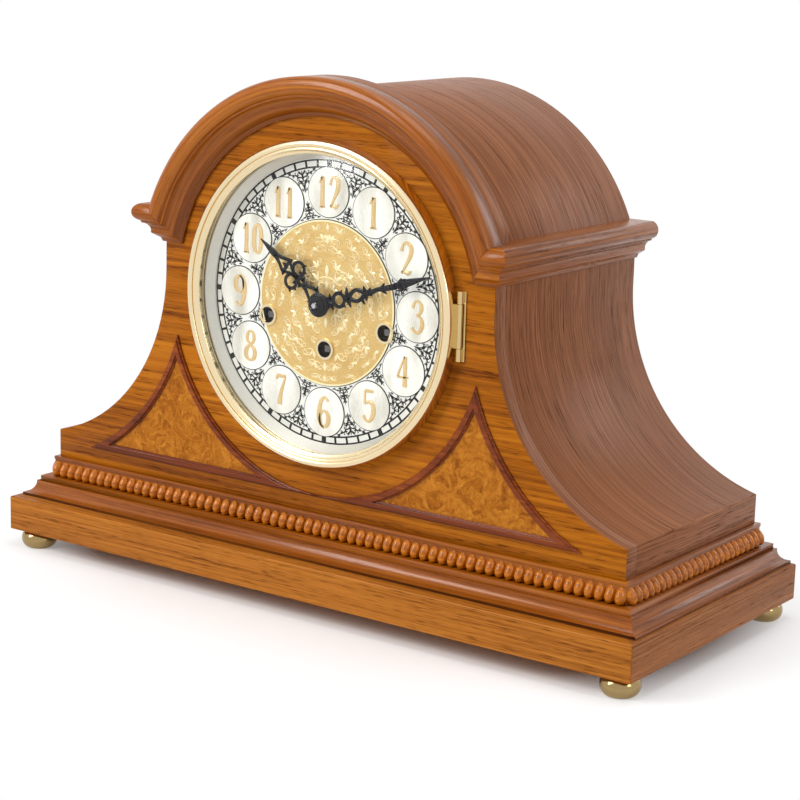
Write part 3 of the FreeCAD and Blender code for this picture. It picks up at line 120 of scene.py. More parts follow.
class Paint:
    """One material, its Principled shader and the nodes that feed it."""

    def __init__(self, name, roughness=0.4, **constants):
        self.material = bpy.data.materials.new(name)
        self.material.use_nodes = True
        self.tree = self.material.node_tree
        self.shader = self.tree.nodes["Principled BSDF"]
        self.shader.inputs["Roughness"].default_value = roughness
        for socket, value in constants.items():
            self.shader.inputs[socket.replace("_", " ")].default_value = value

    def node(self, kind, settings=None, inputs=None, output=0):
        made = self.tree.nodes.new(kind)
        for name, value in (settings or {}).items():
            if name == "stops":
                self.set_stops(made.color_ramp, value)
            else:
                setattr(made, name, value)
        for name, value in (inputs or {}).items():
            if isinstance(value, Value):
                self.tree.links.new(value.socket, made.inputs[name])
            else:
                made.inputs[name].default_value = value
        return Value(self, made.outputs[output])

    def set_stops(self, ramp, stops):
        while len(ramp.elements) < len(stops):
            ramp.elements.new(0.5)
        for element, (place, colour) in zip(ramp.elements, stops):
            element.position = place
            element.color = (*colour, 1.0)

    def feed(self, socket, value):
        self.tree.links.new(value.socket, self.shader.inputs[socket])

    def place(self):
        return self.node("ShaderNodeTexCoord", output="Object")

    def axes(self):
        parts = self.node("ShaderNodeSeparateXYZ", inputs={0: self.place()})
        made = parts.socket.node
        return [Value(self, made.outputs[i]) for i in range(3)]

    def point(self, x, y, z):
        return self.node("ShaderNodeCombineXYZ", inputs={0: x, 1: y, 2: z})

    def stretched(self, place, scale):
        return self.node("ShaderNodeMapping", inputs={"Vector": place, "Scale": scale})

    def noise(self, place, scale=1.0, detail=3.0, roughness=0.5, distortion=0.0):
        inputs = {
            "Vector": place,
            "Scale": scale,
            "Detail": detail,
            "Roughness": roughness,
            "Distortion": distortion,
        }
        return self.node("ShaderNodeTexNoise", inputs=inputs, output="Fac")

    def bent(self, place, scale, detail, reach):
        """The place pushed about by a colour noise, in metres."""
        inputs = {"Vector": place, "Scale": scale, "Detail": detail}
        warp = self.node("ShaderNodeTexNoise", inputs=inputs, output="Color")
        inputs = {0: warp, 1: (reach, reach, reach), 2: place}
        return self.node("ShaderNodeVectorMath", {"operation": "MULTIPLY_ADD"}, inputs)

    def curve(self, value, *stops):
        """A number from 0 to 1 through (place, level) stops."""
        return self.node(
            "ShaderNodeValToRGB", {"stops": [(p, (v, v, v)) for p, v in stops]}, {"Fac": value}
        )

    def colours(self, value, *stops):
        return self.node("ShaderNodeValToRGB", {"stops": list(stops)}, {"Fac": value})

    def mix(self, factor, first, second):
        inputs = {"Factor": factor, MIX_FIRST: colour(first), MIX_SECOND: colour(second)}
        return self.node("ShaderNodeMix", {"data_type": "RGBA"}, inputs, output=MIX_RESULT)

    def bump(self, height, strength, distance):
        inputs = {"Height": height, "Strength": strength, "Distance": distance * MM}
        self.feed("Normal", self.node("ShaderNodeBump", inputs=inputs, output="Normal"))


def colour(value):
    return value if isinstance(value, Value) else (*value, 1.0)


def srgb(red, green, blue):
    """A colour as the photograph shows it, from 0 to 255, made linear."""
    return tuple((c / 255) ** 2.2 for c in (red, green, blue))


# Finishes


MITRED = ("mitred", "cornice", "plinth")
SIDE_SHADE_BROWN = 0.55  # painted shade: how far a mitred moulding takes the duller tones of the sides on its left and right runs
BLOCK_EDGE = 0.6  # the upright end of a side begins this far inside its face
ARCH_REACH = 0.13  # metres of grain in a radian of the arch


def on_side(x, y, run):
    """One on the left and right runs of a mitred moulding, and nought on the front and back."""
    if run == "cornice":
        return (abs(x) + y) > (high("cornice_right")[0] + low("cornice_right")[1]) * MM
    if run == "plinth":
        wide, deep = high("plinth_board")[:2]
        return (abs(x) - abs(y)) > (wide - deep) * MM
    return (abs(x) - abs(y - BODY_MIDDLE * MM)) > (BODY_HALF - BODY_DEEP_HALF) * MM


def grain_place(paint, run):
    """Coordinates as (along the grain, across it, across it), in metres.

    The run says how the wood lies: along x or z, wrapped over the shoulders, mitred
    round the case, or bent round the arch.
    """
    x, y, z = paint.axes()
    if run == "x":
        return paint.point(x, y, z)
    if run == "z":
        return paint.point(z, y, x)
    if run == "wrap":
        block = abs(x) > (BODY_HALF - BLOCK_EDGE) * MM
        return paint.point((z + x * 0.6) * (1 - block) + y * block, y + block * (z - y), z * 0.004)
    if run in MITRED:
        side = on_side(x, y, run)
        return paint.point(x + side * (y - x), y + side * (x - y), z)
    angle = paint.node("ShaderNodeMath", {"operation": "ARCTAN2"}, {0: x, 1: z - DIAL_Z * MM})
    reach = (x * x + (z - DIAL_Z * MM) * (z - DIAL_Z * MM)).maths("SQRT")
    return paint.point(angle * ARCH_REACH, y, reach)


def oak(
    name, run, pale, base, dark, rib=420.0, streak=0.5, flecks=0.8, roughness=0.3, coat=0.1, banding=0.4
):
    """Lacquered open-grained oak: wide bands, year rings (rib), fine fibre and dark pores."""
    paint = Paint(name, roughness, Coat_Roughness=0.32 - 0.27 * coat, Specular_IOR_Level=0.05)
    place = grain_place(paint, run)
    bands = paint.noise(paint.stretched(place, (3.5, 30.0, 30.0)), 1.0, 3.0, 0.55, 0.5)
    rings = paint.noise(paint.stretched(place, (rib / 110.0, rib, rib)), 1.0, 4.0, 0.6, 0.25)
    fibre = paint.noise(paint.stretched(place, (26.0, 1900.0, 1900.0)), 1.0, 2.0, 0.6)
    pores = paint.noise(paint.stretched(place, (75.0, 1500.0, 1500.0)), 1.0, 1.0, 0.5)
    tone = paint.curve(bands, (0.3, 0.0), (0.7, 1.0)) * banding
    tone = tone + paint.curve(rings, (0.32, 0.0), (0.68, 1.0)) * streak
    tone = tone + (fibre - 0.5) * 0.7
    wood = paint.colours(tone, (0.0, dark), (0.5, base), (1.0, pale))
    # On their left and right runs the mitred mouldings are mixed towards the sides' duller tones:
    # painted shade, as those faces get less light.
    if run in MITRED:
        x, y, _ = paint.axes()
        shaded_side_brown = paint.colours(tone, (0.0, BROWN[2]), (0.5, BROWN[1]), (1.0, BROWN[0]))
        wood = paint.mix(on_side(x, y, run) * SIDE_SHADE_BROWN, wood, shaded_side_brown)
    # The arch moulding is darkened towards its back: painted shade in its recesses.
    if run == "round":
        _, y, _ = paint.axes()
        front, back = low("arch_moulding")[1], high("arch_moulding")[1]
        depth = (y - front * MM) * (1 / MM / (back - front))
        wood = paint.mix(paint.curve(depth, (0.3, 0.0), (0.8, 0.6)), wood, dark)
    gate = paint.curve(rings, (0.4, 1.0), (0.6, 0.3))
    pore_mask = paint.curve(pores, (0.33, 1.0), (0.42, 0.0)) * gate * flecks
    deep = tuple(c * 0.34 for c in dark)
    wood = paint.mix(pore_mask * 0.8, wood, deep)
    paint.feed("Base Color", wood)
    paint.feed("Roughness", 0.5 * pore_mask + roughness)
    paint.feed("Coat Weight", coat - pore_mask * coat)
    paint.bump(fibre * 0.25 - pore_mask, 0.35, 0.12)
    return paint.material


def burl(name):
    """Burl veneer: swirling cloudy figure with dark eyes."""
    paint = Paint(name, 0.26, Coat_Roughness=0.08, Coat_Weight=0.1, Specular_IOR_Level=0.05)
    place = paint.place()
    bent = paint.bent(place, 55.0, 3.0, 0.035)
    cloud = paint.noise(bent, 90.0, 6.0, 0.62, 1.4)
    fine = paint.noise(bent, 420.0, 3.0, 0.6, 0.8)
    eyes = paint.node("ShaderNodeTexVoronoi", inputs={"Vector": bent, "Scale": 150.0}, output="Distance")
    spot = paint.curve(eyes, (0.06, 1.0), (0.2, 0.0))
    clusters = paint.curve(paint.noise(place, 38.0, 2.0), (0.5, 0.0), (0.62, 1.0))
    tone = cloud * 0.8 + fine * 0.3 - 0.05
    wood = paint.colours(
        tone,
        (0.3, srgb(118, 64, 16)),
        (0.46, srgb(154, 90, 24)),
        (0.6, srgb(180, 114, 36)),
        (0.78, srgb(200, 140, 54)),
    )
    wood = paint.mix(spot * clusters * 0.85, wood, srgb(78, 38, 10))
    paint.feed("Base Color", wood)
    paint.bump(cloud, 0.08, 0.1)
    return paint.material


def metal(name, tint, roughness, wear=0.06, run=None):
    """A polished or brushed metal with fine marks."""
    paint = Paint(name, roughness, Metallic=1.0)
    place = paint.place()
    if run:
        place = paint.stretched(place, run)
    marks = paint.noise(place, 900.0, 2.0, 0.6)
    cloud = paint.noise(paint.place(), 60.0, 3.0)
    paint.feed("Roughness", marks * wear + cloud * wear + (roughness - wear))
    paint.feed("Base Color", paint.mix(cloud * 0.35, tint, tuple(c * 0.72 for c in tint)))
    paint.bump(marks, 0.05, 0.02)
    return paint.material


def turned_metal(name, tint, shade, roughness, lathe=0.5, purity=1.0):
    """Metal with rings round the dial's middle, as a lathe or a brush leaves them."""
    paint = Paint(name, roughness, Metallic=purity)
    x, y, z = paint.axes()
    up = z - DIAL_Z * MM
    reach = (x * x + up * up).maths("SQRT")
    rings = paint.noise(paint.point(reach, reach * 0.0, reach * 0.0), 2600.0, 2.0, 0.7)
    cloud = paint.noise(paint.place(), 40.0, 3.0)
    paint.feed("Base Color", paint.mix(rings * lathe + cloud * 0.3, tint, shade))
    paint.bump(rings, 0.12, 0.02)
    return paint.material


def enamel(name, tint, roughness=0.2):
    paint = Paint(name, roughness, Coat_Weight=0.06, Specular_IOR_Level=0.12)
    specks = paint.noise(paint.place(), 700.0, 2.0)
    paint.feed("Base Color", paint.mix(specks, tint, tuple(c * 1.8 for c in tint)))
    paint.feed("Roughness", specks * 0.14 + (roughness - 0.04))
    return paint.material


def silvered(name):
    """Silvered dial metal, finely grained."""
    paint = Paint(name, 0.34, Metallic=0.15)
    grain = paint.noise(paint.stretched(paint.place(), (1.0, 1.0, 6.0)), 1500.0, 2.0, 0.6)
    cloud = paint.noise(paint.place(), 55.0, 3.0)
    tone = grain * 0.5 + cloud * 0.35
    silver = paint.colours(tone, (0.2, srgb(228, 226, 218)), (0.75, srgb(252, 252, 250)))
    paint.feed("Base Color", silver)
    paint.bump(grain, 0.06, 0.02)
    return paint.material


def disc_silver(name):
    """Each numeral disc is brushed straight up, and broad upright bands of painted sheen shade it a
    little from side to side.
    """
    paint = Paint(name, 0.3, Metallic=0.15)
    place = paint.place()
    brush = paint.noise(paint.stretched(place, (3000.0, 1.0, 240.0)), 1.0, 2.0, 0.6)
    # Broad upright bands, lighter and darker: painted sheen.
    painted_sheen = paint.noise(paint.stretched(place, (62.0, 1.0, 16.0)), 1.0, 1.0)
    tone = brush * 0.3 + painted_sheen * 0.75
    silver = paint.colours(tone, (0.36, srgb(202, 197, 184)), (0.62, srgb(254, 252, 245)))
    paint.feed("Base Color", silver)
    paint.bump(brush, 0.05, 0.02)
    return paint.material


def gilt(name, deep, bright, engraved=0.0):
    """Matt gilding with a fine grain whose pale specks in the colour are painted glints, and where
    engraved a field of fine scroll lines.
    """
    paint = Paint(name, 0.33, Metallic=0.45)
    place = paint.place()
    # A fine grain: its bump is the gilding's grain, and its pale specks in the colour are painted
    # glints.
    grain_and_painted_glints = paint.noise(place, 1300.0, 2.0, 0.7)
    drift = paint.noise(place, 30.0, 2.0)
    tone = grain_and_painted_glints * 0.5 + drift * 0.5
    height = grain_and_painted_glints * 0.3
    if engraved:
        bent = paint.bent(place, 120.0, 1.0, 0.02)
        waves = paint.node(
            "ShaderNodeTexWave",
            {"wave_type": "RINGS"},
            {"Vector": bent, "Scale": 95.0, "Distortion": 3.0, "Detail": 1.0},
            output="Fac",
        )
        line = paint.curve(waves, (0.62, 0.0), (0.8, 1.0))
        tone = tone + line * engraved
        height = height + line
    paint.feed("Base Color", paint.colours(tone, (0.3, deep), (0.8, bright)))
    paint.bump(height, 0.35, 0.12)
    return paint.material


def clear_glass(name):
    """Thin clear glass: it lets light through and keeps its reflections."""
    paint = Paint(name)
    nodes = paint.tree.nodes
    facing = paint.node("ShaderNodeLayerWeight", inputs={"Blend": 0.5}, output="Facing")
    smear = paint.noise(paint.place(), 20.0, 2.0)
    edge = facing * facing * facing * facing * 0.5 + 0.014
    gloss = paint.node("ShaderNodeBsdfGlossy", inputs={"Roughness": 0.1})
    through = paint.node("ShaderNodeBsdfTransparent", inputs={"Color": (0.985, 0.99, 0.985, 1.0)})
    factor = edge * (smear * 0.2 + 0.9)
    mixed = paint.node("ShaderNodeMixShader", inputs={0: factor, 1: through, 2: gloss})
    nodes.remove(paint.shader)
    paint.tree.links.new(mixed.socket, nodes["Material Output"].inputs["Surface"])
    return paint.material


# Woods, as (pale, middle, dark).
HONEY = (srgb(190, 118, 30), srgb(158, 90, 16), srgb(98, 48, 6))
PLINTH = (srgb(196, 128, 54), srgb(170, 104, 38), srgb(116, 62, 20))
BROWN = (srgb(182, 128, 90), srgb(148, 94, 62), srgb(90, 52, 30))
MOULDING = (srgb(178, 108, 32), srgb(144, 78, 20), srgb(94, 46, 10))
BEAD = (srgb(226, 144, 28), srgb(194, 110, 14), srgb(122, 62, 6))
PANEL = (srgb(152, 80, 24), srgb(116, 52, 12), srgb(74, 32, 5))
VENEER = {"rib": 2100.0, "streak": 0.55, "flecks": 0.9, "roughness": 0.36, "coat": 0.12, "banding": 0.12}
BENT_OAK = {"flecks": 0.5, "roughness": 0.24}

FINISH = {
    "front": oak("front_oak", "x", *HONEY),
    "plinth": oak("plinth_oak", "plinth", *PLINTH, rib=700.0, banding=0.25),
    "board": oak("base_board_oak", "mitred", *HONEY),
    "side": oak("side_veneer", "wrap", *BROWN, **VENEER),
    "moulding": oak("moulding_oak", "mitred", *MOULDING, flecks=0.45, roughness=0.24, coat=0.45),
    "arch": oak("arch_oak", "round", *MOULDING, **BENT_OAK, coat=0.45),
    "cornice": oak("cornice_oak", "cornice", *MOULDING, **BENT_OAK, coat=0.35),
    "bead": oak("bead_oak", "x", *BEAD, flecks=0.15, roughness=0.14, coat=0.6, banding=0.1),
    "panel": oak("panel_bead_oak", "x", *PANEL, flecks=0.3, roughness=0.2, coat=0.4),
    "back": oak("back_board", "z", *BROWN, roughness=0.45, coat=0.15),
    "burl": burl("burl_veneer"),
    "foot": metal("foot_brass", (0.38, 0.27, 0.12), 0.12),
    "brass": metal("polished_brass", (0.68, 0.52, 0.26), 0.14),
    "bezel": turned_metal("bezel_brass", (0.92, 0.77, 0.5), (0.72, 0.55, 0.31), 0.2, 0.3),
    "surround": turned_metal("surround_silver", (0.80, 0.78, 0.73), (0.62, 0.59, 0.52), 0.34, 0.6, 0.6),
    "glass": clear_glass("clear_glass"),
    "dial": silvered("silvered_dial"),
    "disc": disc_silver("silver_discs"),
    "dark_steel": metal("dark_steel", (0.16, 0.155, 0.15), 0.3, 0.1),
    # The gilt centre's ground is deeper and its raised scrolls paler: partly two gildings, partly
    # painted shade on the ground between the scrolls and painted highlight on the scrolls.
    "gold": gilt("gilt_centre", srgb(202, 160, 92), srgb(234, 202, 134), engraved=0.1),
    "scroll": gilt("bright_gilt_and_highlight", srgb(250, 226, 170), srgb(255, 248, 216)),
    "numeral": gilt("numeral_gilt", srgb(214, 176, 116), srgb(244, 216, 164)),
    "ink": enamel("dial_ink", (0.012, 0.011, 0.010), 0.4),
    "hand": enamel("black_hands", (0.006, 0.006, 0.008), 0.3),
    "works": metal("movement_brass", (0.80, 0.62, 0.28), 0.3, 0.12, (1.0, 1.0, 8.0)),
    "steel": metal("arbor_steel", (0.62, 0.62, 0.64), 0.22, 0.1),
    "iron": enamel("block_iron", (0.02, 0.02, 0.022), 0.5),
}


# Making pieces

WELD = 1e-6
CAD_WELD = 1e-5
FLAT = math.radians(0.5)
ARRIS = math.radians(30.0)
INK_LIFT = 0.12


def add(name, work, finish, body, smooth=40.0):
    """Closes a bmesh and makes it a piece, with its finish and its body.

    Edges sharper than smooth, in degrees, stay sharp.
    """
    bmesh.ops.remove_doubles(work, verts=work.verts, dist=WELD)
    bmesh.ops.recalc_face_normals(work, faces=work.faces)
    mesh = bpy.data.meshes.new(name)
    work.to_mesh(mesh)
    work.free()
    piece = bpy.data.objects.new(name, mesh)
    bpy.context.scene.collection.objects.link(piece)
    mesh.materials.append(FINISH[finish])
    mesh.shade_smooth()
    mesh.set_sharp_from_angle(angle=math.radians(smooth))
    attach(piece, body)
    return piece


def soften(work, edges, width, segments):
    bmesh.ops.bevel(
        work,
        geom=edges,
        offset=width * MM,
        segments=segments,
        profile=0.5,
        affect="EDGES",
        material=-1,
        clamp_overlap=True,
    )


def eased(node, finish, width, segments=2):
    """A copy of a CAD node with its arrises softened, as sanding and lacquer leave them."""
    work = bmesh.new()
    work.from_mesh(NODES[node].data)
    bmesh.ops.remove_doubles(work, verts=work.verts, dist=CAD_WELD)
    bmesh.ops.dissolve_limit(work, angle_limit=FLAT, verts=work.verts, edges=work.edges)
    sharp = [e for e in work.edges if e.is_manifold and e.calc_face_angle(0.0) > ARRIS]
    soften(work, sharp, width, segments)
    piece = add(node + "_dressed", work, finish, "case", smooth=50.0)
    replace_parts(piece, node)
    return piece


def turned(points, centre=(0.0, 0.0), steps=128):
    """A ring spun about a Y axis from the (radius, y) points of its closed outline."""
    work = bmesh.new()
    middle = Vector((centre[0], 0.0, DIAL_Z + centre[1])) * MM
    verts = [work.verts.new(middle + Vector((r, y, 0.0)) * MM) for r, y in points]
    edges = [work.edges.new(pair) for pair in zip(verts, verts[1:] + verts[:1])]
    bmesh.ops.spin(
        work,
        geom=verts + edges,
        cent=middle,
        axis=(0.0, 1.0, 0.0),
        angle=math.tau,
        steps=steps,
        use_merge=True,
    )
    return work


def joined(parts):
    """One bmesh from several."""
    whole = bmesh.new()
    for part in parts:
        mesh = bpy.data.meshes.new("part")
        part.to_mesh(mesh)
        part.free()
        whole.from_mesh(mesh)
        bpy.data.meshes.remove(mesh)
    return whole


def polar(radius, degrees):
    """A dial point (x, up) at a clockwise angle from twelve."""
    turn = math.radians(degrees)
    return radius * math.sin(turn), radius * math.cos(turn)


def flat_ring(inner, outer, y, centre=(0.0, 0.0), steps=96, lift=INK_LIFT):
    points = [(inner, y), (inner, y - lift), (outer, y - lift), (outer, y)]
    return turned(points, centre, steps)


def bar(angle, inner, outer, half, y):
    """A radial bar on the dial."""
    work = bmesh.new()
    bmesh.ops.create_cube(work, size=MM)
    bmesh.ops.scale(work, vec=(2 * half, INK_LIFT, outer - inner), verts=work.verts)
    middle = Vector((0.0, y - INK_LIFT / 2, (inner + outer) / 2)) * MM
    bmesh.ops.translate(work, vec=middle, verts=work.verts)
    turn = Matrix.Rotation(math.radians(angle), 4, "Y")
    bmesh.ops.transform(work, matrix=Matrix.Translation((0, 0, DIAL_Z * MM)) @ turn, verts=work.verts)
    return work


def strokes(lines, thick, sides=2, smoothness=6):
    """A mesh of drawn strokes in a dial's own plane.

    A line is (closed, points), and a point is (x, up, half width) in millimetres.
    The strokes are round and then pressed flat to the thickness.
    """
    data = bpy.data.curves.new("strokes", "CURVE")
    data.dimensions = "3D"
    data.bevel_depth = 1.0
    data.bevel_resolution = sides
    data.resolution_u = smoothness
    data.use_fill_caps = True
    for closed, points in lines:
        spline = data.splines.new("NURBS")
        spline.points.add(len(points) - 1)
        for spot, (x, up, half) in zip(spline.points, points):
            spot.co = (x, 0.0, up, 1.0)
            spot.radius = half
        spline.use_cyclic_u = closed
        spline.order_u = 3
        spline.use_endpoint_u = not closed
    drawn = bpy.data.objects.new("strokes", data)
    bpy.context.scene.collection.objects.link(drawn)
    bpy.context.view_layer.update()
    mesh = bpy.data.meshes.new_from_object(drawn)
    bpy.data.objects.remove(drawn)
    work = bmesh.new()
    work.from_mesh(mesh)
    bpy.data.meshes.remove(mesh)
    for vert in work.verts:
        vert.co.y = max(-thick / 2, min(thick / 2, vert.co.y))
    return work


def set_on_dial(work, y, angle=0.0, centre=(0.0, 0.0)):
    """Scales a drawing to metres, turns it clockwise and sets it on the dial."""
    place = Matrix.Translation(Vector((centre[0], y, DIAL_Z + centre[1])) * MM)
    turn = Matrix.Rotation(math.radians(angle), 4, "Y")
    bmesh.ops.transform(work, matrix=place @ turn @ Matrix.Scale(MM, 4), verts=work.verts)
    return work


# Case

# The CAD nodes that keep their own shape, by finish.
PLAIN = {
    "board": ("base_core_board",),
    "burl": ("burl_panels",),
    "back": ("back_panel", "rear_door", "seat_board", "seat_legs"),
    "dial": ("dial_plate",),
    "gold": ("dial_centre",),
    "disc": ("numeral_discs",),
    "surround": ("dial_surround",),
    "bezel": ("winding_bushings",),
    "glass": ("bezel_glass",),
    "iron": ("chime_rod_block",),
    "foot": ("bun_feet",),
    "brass": (
        "bezel_hinge_leaf",
        "bezel_hinge_plate",
        "rear_hinge_case_leaves",
        "rear_hinge_door_leaves",
        "rear_door_knob",
    ),
    "works": (
        *(node for node in NODES if node.startswith(("chime_hammer", "movement"))),
        "time_barrel",
        "strike_barrel",
        "chime_barrel",
        "minute_wheel",
        "hour_wheel",
        "chime_drum",
        "chime_bracket",
        "balance_wheel",
        "balance_cock",
        "dial_posts",
    ),
    "steel": ("centre_arbor", "chime_drive_arbor", "chime_rods", "foot_screws"),
    "dark_steel": ("time_winding_arbor", "strike_winding_arbor", "chime_winding_arbor"),
}


def veneer_edges(panel):
    """The front panel's outer edges carry the veneer of the sides."""
    panel.data.materials.append(FINISH["side"])
    for face in panel.data.polygons:
        if abs(face.normal.y) < 0.5:
            face.material_index = 1


def dress_case():
    eased("plinth_board", "plinth", 0.5)
    veneer_edges(eased("front_panel", "front", 0.25))
    eased("left_side", "side", 0.4)
    eased("right_side", "side", 0.4)
    eased("barrel_roof", "side", 0.3)
    eased("base_cove_moulding", "moulding", 0.35)
    eased("cornice_left", "cornice", 0.35)
    eased("cornice_right", "cornice", 0.35)
    eased("arch_moulding", "arch", 0.35)
    eased("panel_beads", "panel", 1.5, segments=4)
    for finish, nodes in PLAIN.items():
        for node in nodes:
            NODES[node].data.materials.clear()
            NODES[node].data.materials.append(FINISH[finish])


BEAD_PITCH = 7.0
BEAD_OVERLAP = 1.02
BEAD_SINK = 0.4  # how far a bead's middle lies behind the backing's face
BEAD_SHY = 0.2  # how far a bead stays inside the CAD moulding
CAP_TALL = 2.4
BEAD_TALL = BEAD_HIGH - BEAD_LOW - CAP_TALL
BACKING_OUT = 2.6
CAP_OUT = 3.0
STRIP_EASE = 0.4


def one_bead(x, y, turn, deep, wide):
    """A carved bead on the backing. It faces -Y before its turn, and leans back at the top."""
    work = bmesh.new()
    bmesh.ops.create_uvsphere(work, u_segments=16, v_segments=10, radius=1.0)
    for vert in work.verts:
        vert.co.x *= 1.0 - 0.12 * vert.co.z
        vert.co.y = vert.co.y * (1.0 - 0.1 * vert.co.z) + 0.34 * vert.co.z
    bmesh.ops.scale(work, vec=Vector((wide / 2, deep, BEAD_TALL / 2)) * MM, verts=work.verts)
    spot = Vector((x, y, (BEAD_LOW + BEAD_TALL / 2))) * MM
    place = Matrix.Translation(spot) @ Matrix.Rotation(math.radians(turn), 4, "Z")
    bmesh.ops.transform(work, matrix=place, verts=work.verts)
    return work


def bead_moulding():
    """Backing strip with the cap fillet, and the carved beads in front of it."""
    beads = []
    for turn, along, out in (
        (0, BODY_HALF, BODY_DEEP_HALF),
        (180, BODY_HALF, BODY_DEEP_HALF),
        (90, BODY_DEEP_HALF, BODY_HALF),
        (270, BODY_DEEP_HALF, BODY_HALF),
    ):
        run = along + BACKING_OUT
        count = round(2 * run / BEAD_PITCH)
        pitch = 2 * run / count
        reach = BEAD_OUT - BACKING_OUT + BEAD_SINK - BEAD_SHY
        spin = Matrix.Rotation(math.radians(turn), 3, "Z")
        for i in range(count):
            spot = spin @ Vector((-run + pitch * (i + 0.5), -out - BACKING_OUT + BEAD_SINK, 0.0))
            beads.append(one_bead(spot.x, spot.y + BODY_MIDDLE, turn, reach, pitch * BEAD_OVERLAP))
    add("base_beads", joined(beads), "bead", "case", smooth=60.0)
    strips = []
    for level, top, out in (
        (BEAD_LOW, BEAD_LOW + BEAD_TALL, BACKING_OUT),
        (BEAD_LOW + BEAD_TALL, BEAD_HIGH, CAP_OUT),
    ):
        work = bmesh.new()
        bmesh.ops.create_cube(work, size=2.0)
        size = Vector((BODY_HALF + out, BODY_DEEP_HALF + out, (top - level) / 2)) * MM
        bmesh.ops.scale(work, vec=size, verts=work.verts)
        middle = Vector((0.0, BODY_MIDDLE, (top + level) / 2)) * MM
        bmesh.ops.translate(work, vec=middle, verts=work.verts)
        soften(work, work.edges[:], STRIP_EASE, 2)
        strips.append(work)
    backing = add("base_bead_backing", joined(strips), "moulding", "case")
    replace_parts(backing, "base_bead_moulding")


# Bezel


def bezel_ring():
    """The flange, a fine groove, and the stepped rim that holds the glass."""
    front = low("bezel_ring")[1]
    back = high("bezel_ring")[1]
    r = BEZEL_RADIUS
    points = [
        (r, back),
        (r, front + 2.4),
        (r - 0.3, front + 1.3),
        (r - 1.0, front + 0.5),
        (r - 2.0, front + 0.1),
        (r - 3.0, front),
        (r - 4.0, front + 0.25),
        (r - 4.4, front + 0.7),
        (r - 4.5, front + 1.5),
        (r - 5.0, front + 1.5),
        (r - 5.1, front + 0.9),
        (r - 5.6, front + 0.7),
        (r - 6.2, front + 1.0),
        (r - 6.6, front + 1.7),
        (r - 8.0, front + 2.6),
        (r - 8.6, front + 2.9),
        (r - 8.8, front + 3.3),
        (r - 6.8, front + 3.5),
        (r - 6.8, back),
    ]
    ring = turned(points, steps=160)
    piece = add("bezel_ring_turned", ring, "bezel", "bezel_door", 35.0)
    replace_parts(piece, "bezel_ring")


# Dial

TRACK_INNER = 86.6
TRACK_OUTER = 90.0
TRACK_LINE = 1.05
FIFTH_BAR, MINUTE_BAR = 1.7, 0.8  # half widths


def minute_track():
    """Two circles with a bar at each minute, stouter at each fifth, and rings round the discs."""
    marks = [
        flat_ring(TRACK_INNER - TRACK_LINE, TRACK_INNER, DIAL_FACE, steps=160),
        flat_ring(TRACK_OUTER, TRACK_OUTER + TRACK_LINE, DIAL_FACE, steps=160),
    ]
    for minute in range(60):
        half = FIFTH_BAR if minute % 5 == 0 else MINUTE_BAR
        marks.append(bar(minute * 6.0, TRACK_INNER, TRACK_OUTER, half, DIAL_FACE))
    for hour in range(12):
        disc = polar(DISC_RING, 30.0 * hour)
        marks.append(flat_ring(NUMERAL_DISC, NUMERAL_DISC + 0.55, DIAL_FACE, disc, 48, 0.3))
    marks.append(flat_ring(CENTRE_RADIUS, CENTRE_RADIUS + 0.5, DIAL_FACE, steps=128))
    add("minute_track", joined(marks), "ink", "case", 60.0)


def spiral(start, heading, reach, turns, width, steps=14, tightening=0.86):
    """A scroll from a start point: it runs out along a heading and winds inward."""
    x, up = start
    points = []
    turn = math.radians(heading)
    step = reach * (1 - tightening) / (1 - tightening**steps)
    for i in range(steps):
        share = i / (steps - 1)
        points.append((x, up, width * (1.0 - 0.55 * share)))
        x += step * math.sin(turn)
        up += step * math.cos(turn)
        turn += math.radians(turns * 360.0 / steps) * (0.4 + 1.2 * share)
        step *= tightening
    end = points[-1]
    points[-1] = (end[0], end[1], width * 1.5)
    return (False, points)


def both_sides(lines):
    """The lines and their mirror images about the upright."""
    return lines + [(closed, [(-x, up, half) for x, up, half in points]) for closed, points in lines]


def leaf(start, end, width):
    """A pointed leaf as one swelling stroke."""
    (ax, au), (bx, bu) = start, end
    shares = ((0.0, 0.15), (0.25, 0.7), (0.5, 1.0), (0.78, 0.6), (1.0, 0.05))
    return (False, [(ax + (bx - ax) * s, au + (bu - au) * s, width * w) for s, w in shares])


def outer_filigree():
    """Vines that fill the corner between two discs and the minute track."""
    rim = TRACK_INNER - 0.9
    vines = []
    for across, below, heading, reach, turns, width in (
        (0.3, 12.0, 12, 7.0, 0.8, 0.42),
        (0.5, 9.0, 40, 6.0, 0.95, 0.42),
        (0.6, 7.5, 80, 5.4, -0.9, 0.38),
        (0.5, 5.4, 62, 6.4, 0.9, 0.42),
        (2.8, 3.2, 96, 5.0, -0.95, 0.38),
        (4.6, 3.6, 60, 4.8, 0.9, 0.38),
        (6.8, 2.4, 100, 4.4, -0.8, 0.34),
        (9.4, 2.2, 84, 4.0, 0.85, 0.32),
        (1.6, 1.8, 90, 4.0, 0.9, 0.34),
    ):
        vines.append(spiral((across, rim - below), heading, reach, turns, width))
    for x, low_at, end_x, high_at, width in (
        (0.5, 3.4, 3.2, 0.5, 0.8),
        (3.2, 4.8, 5.2, 2.8, 0.7),
        (1.4, 8.6, 3.0, 6.6, 0.7),
        (6.2, 3.8, 8.4, 2.6, 0.6),
        (8.8, 1.4, 11.6, 1.2, 0.6),
        (11.8, 2.6, 14.2, 3.0, 0.5),
        (1.0, 14.0, 2.2, 11.6, 0.6),
    ):
        vines.append(leaf((x, rim - low_at), (end_x, rim - high_at), width))
    stems = [((0.0, rim - 15.0), (0.0, rim - 8.4), 0.8), ((0.0, rim - 8.0), (0.0, rim - 0.6), 0.95)]
    return both_sides(vines) + [leaf(*stem) for stem in stems]


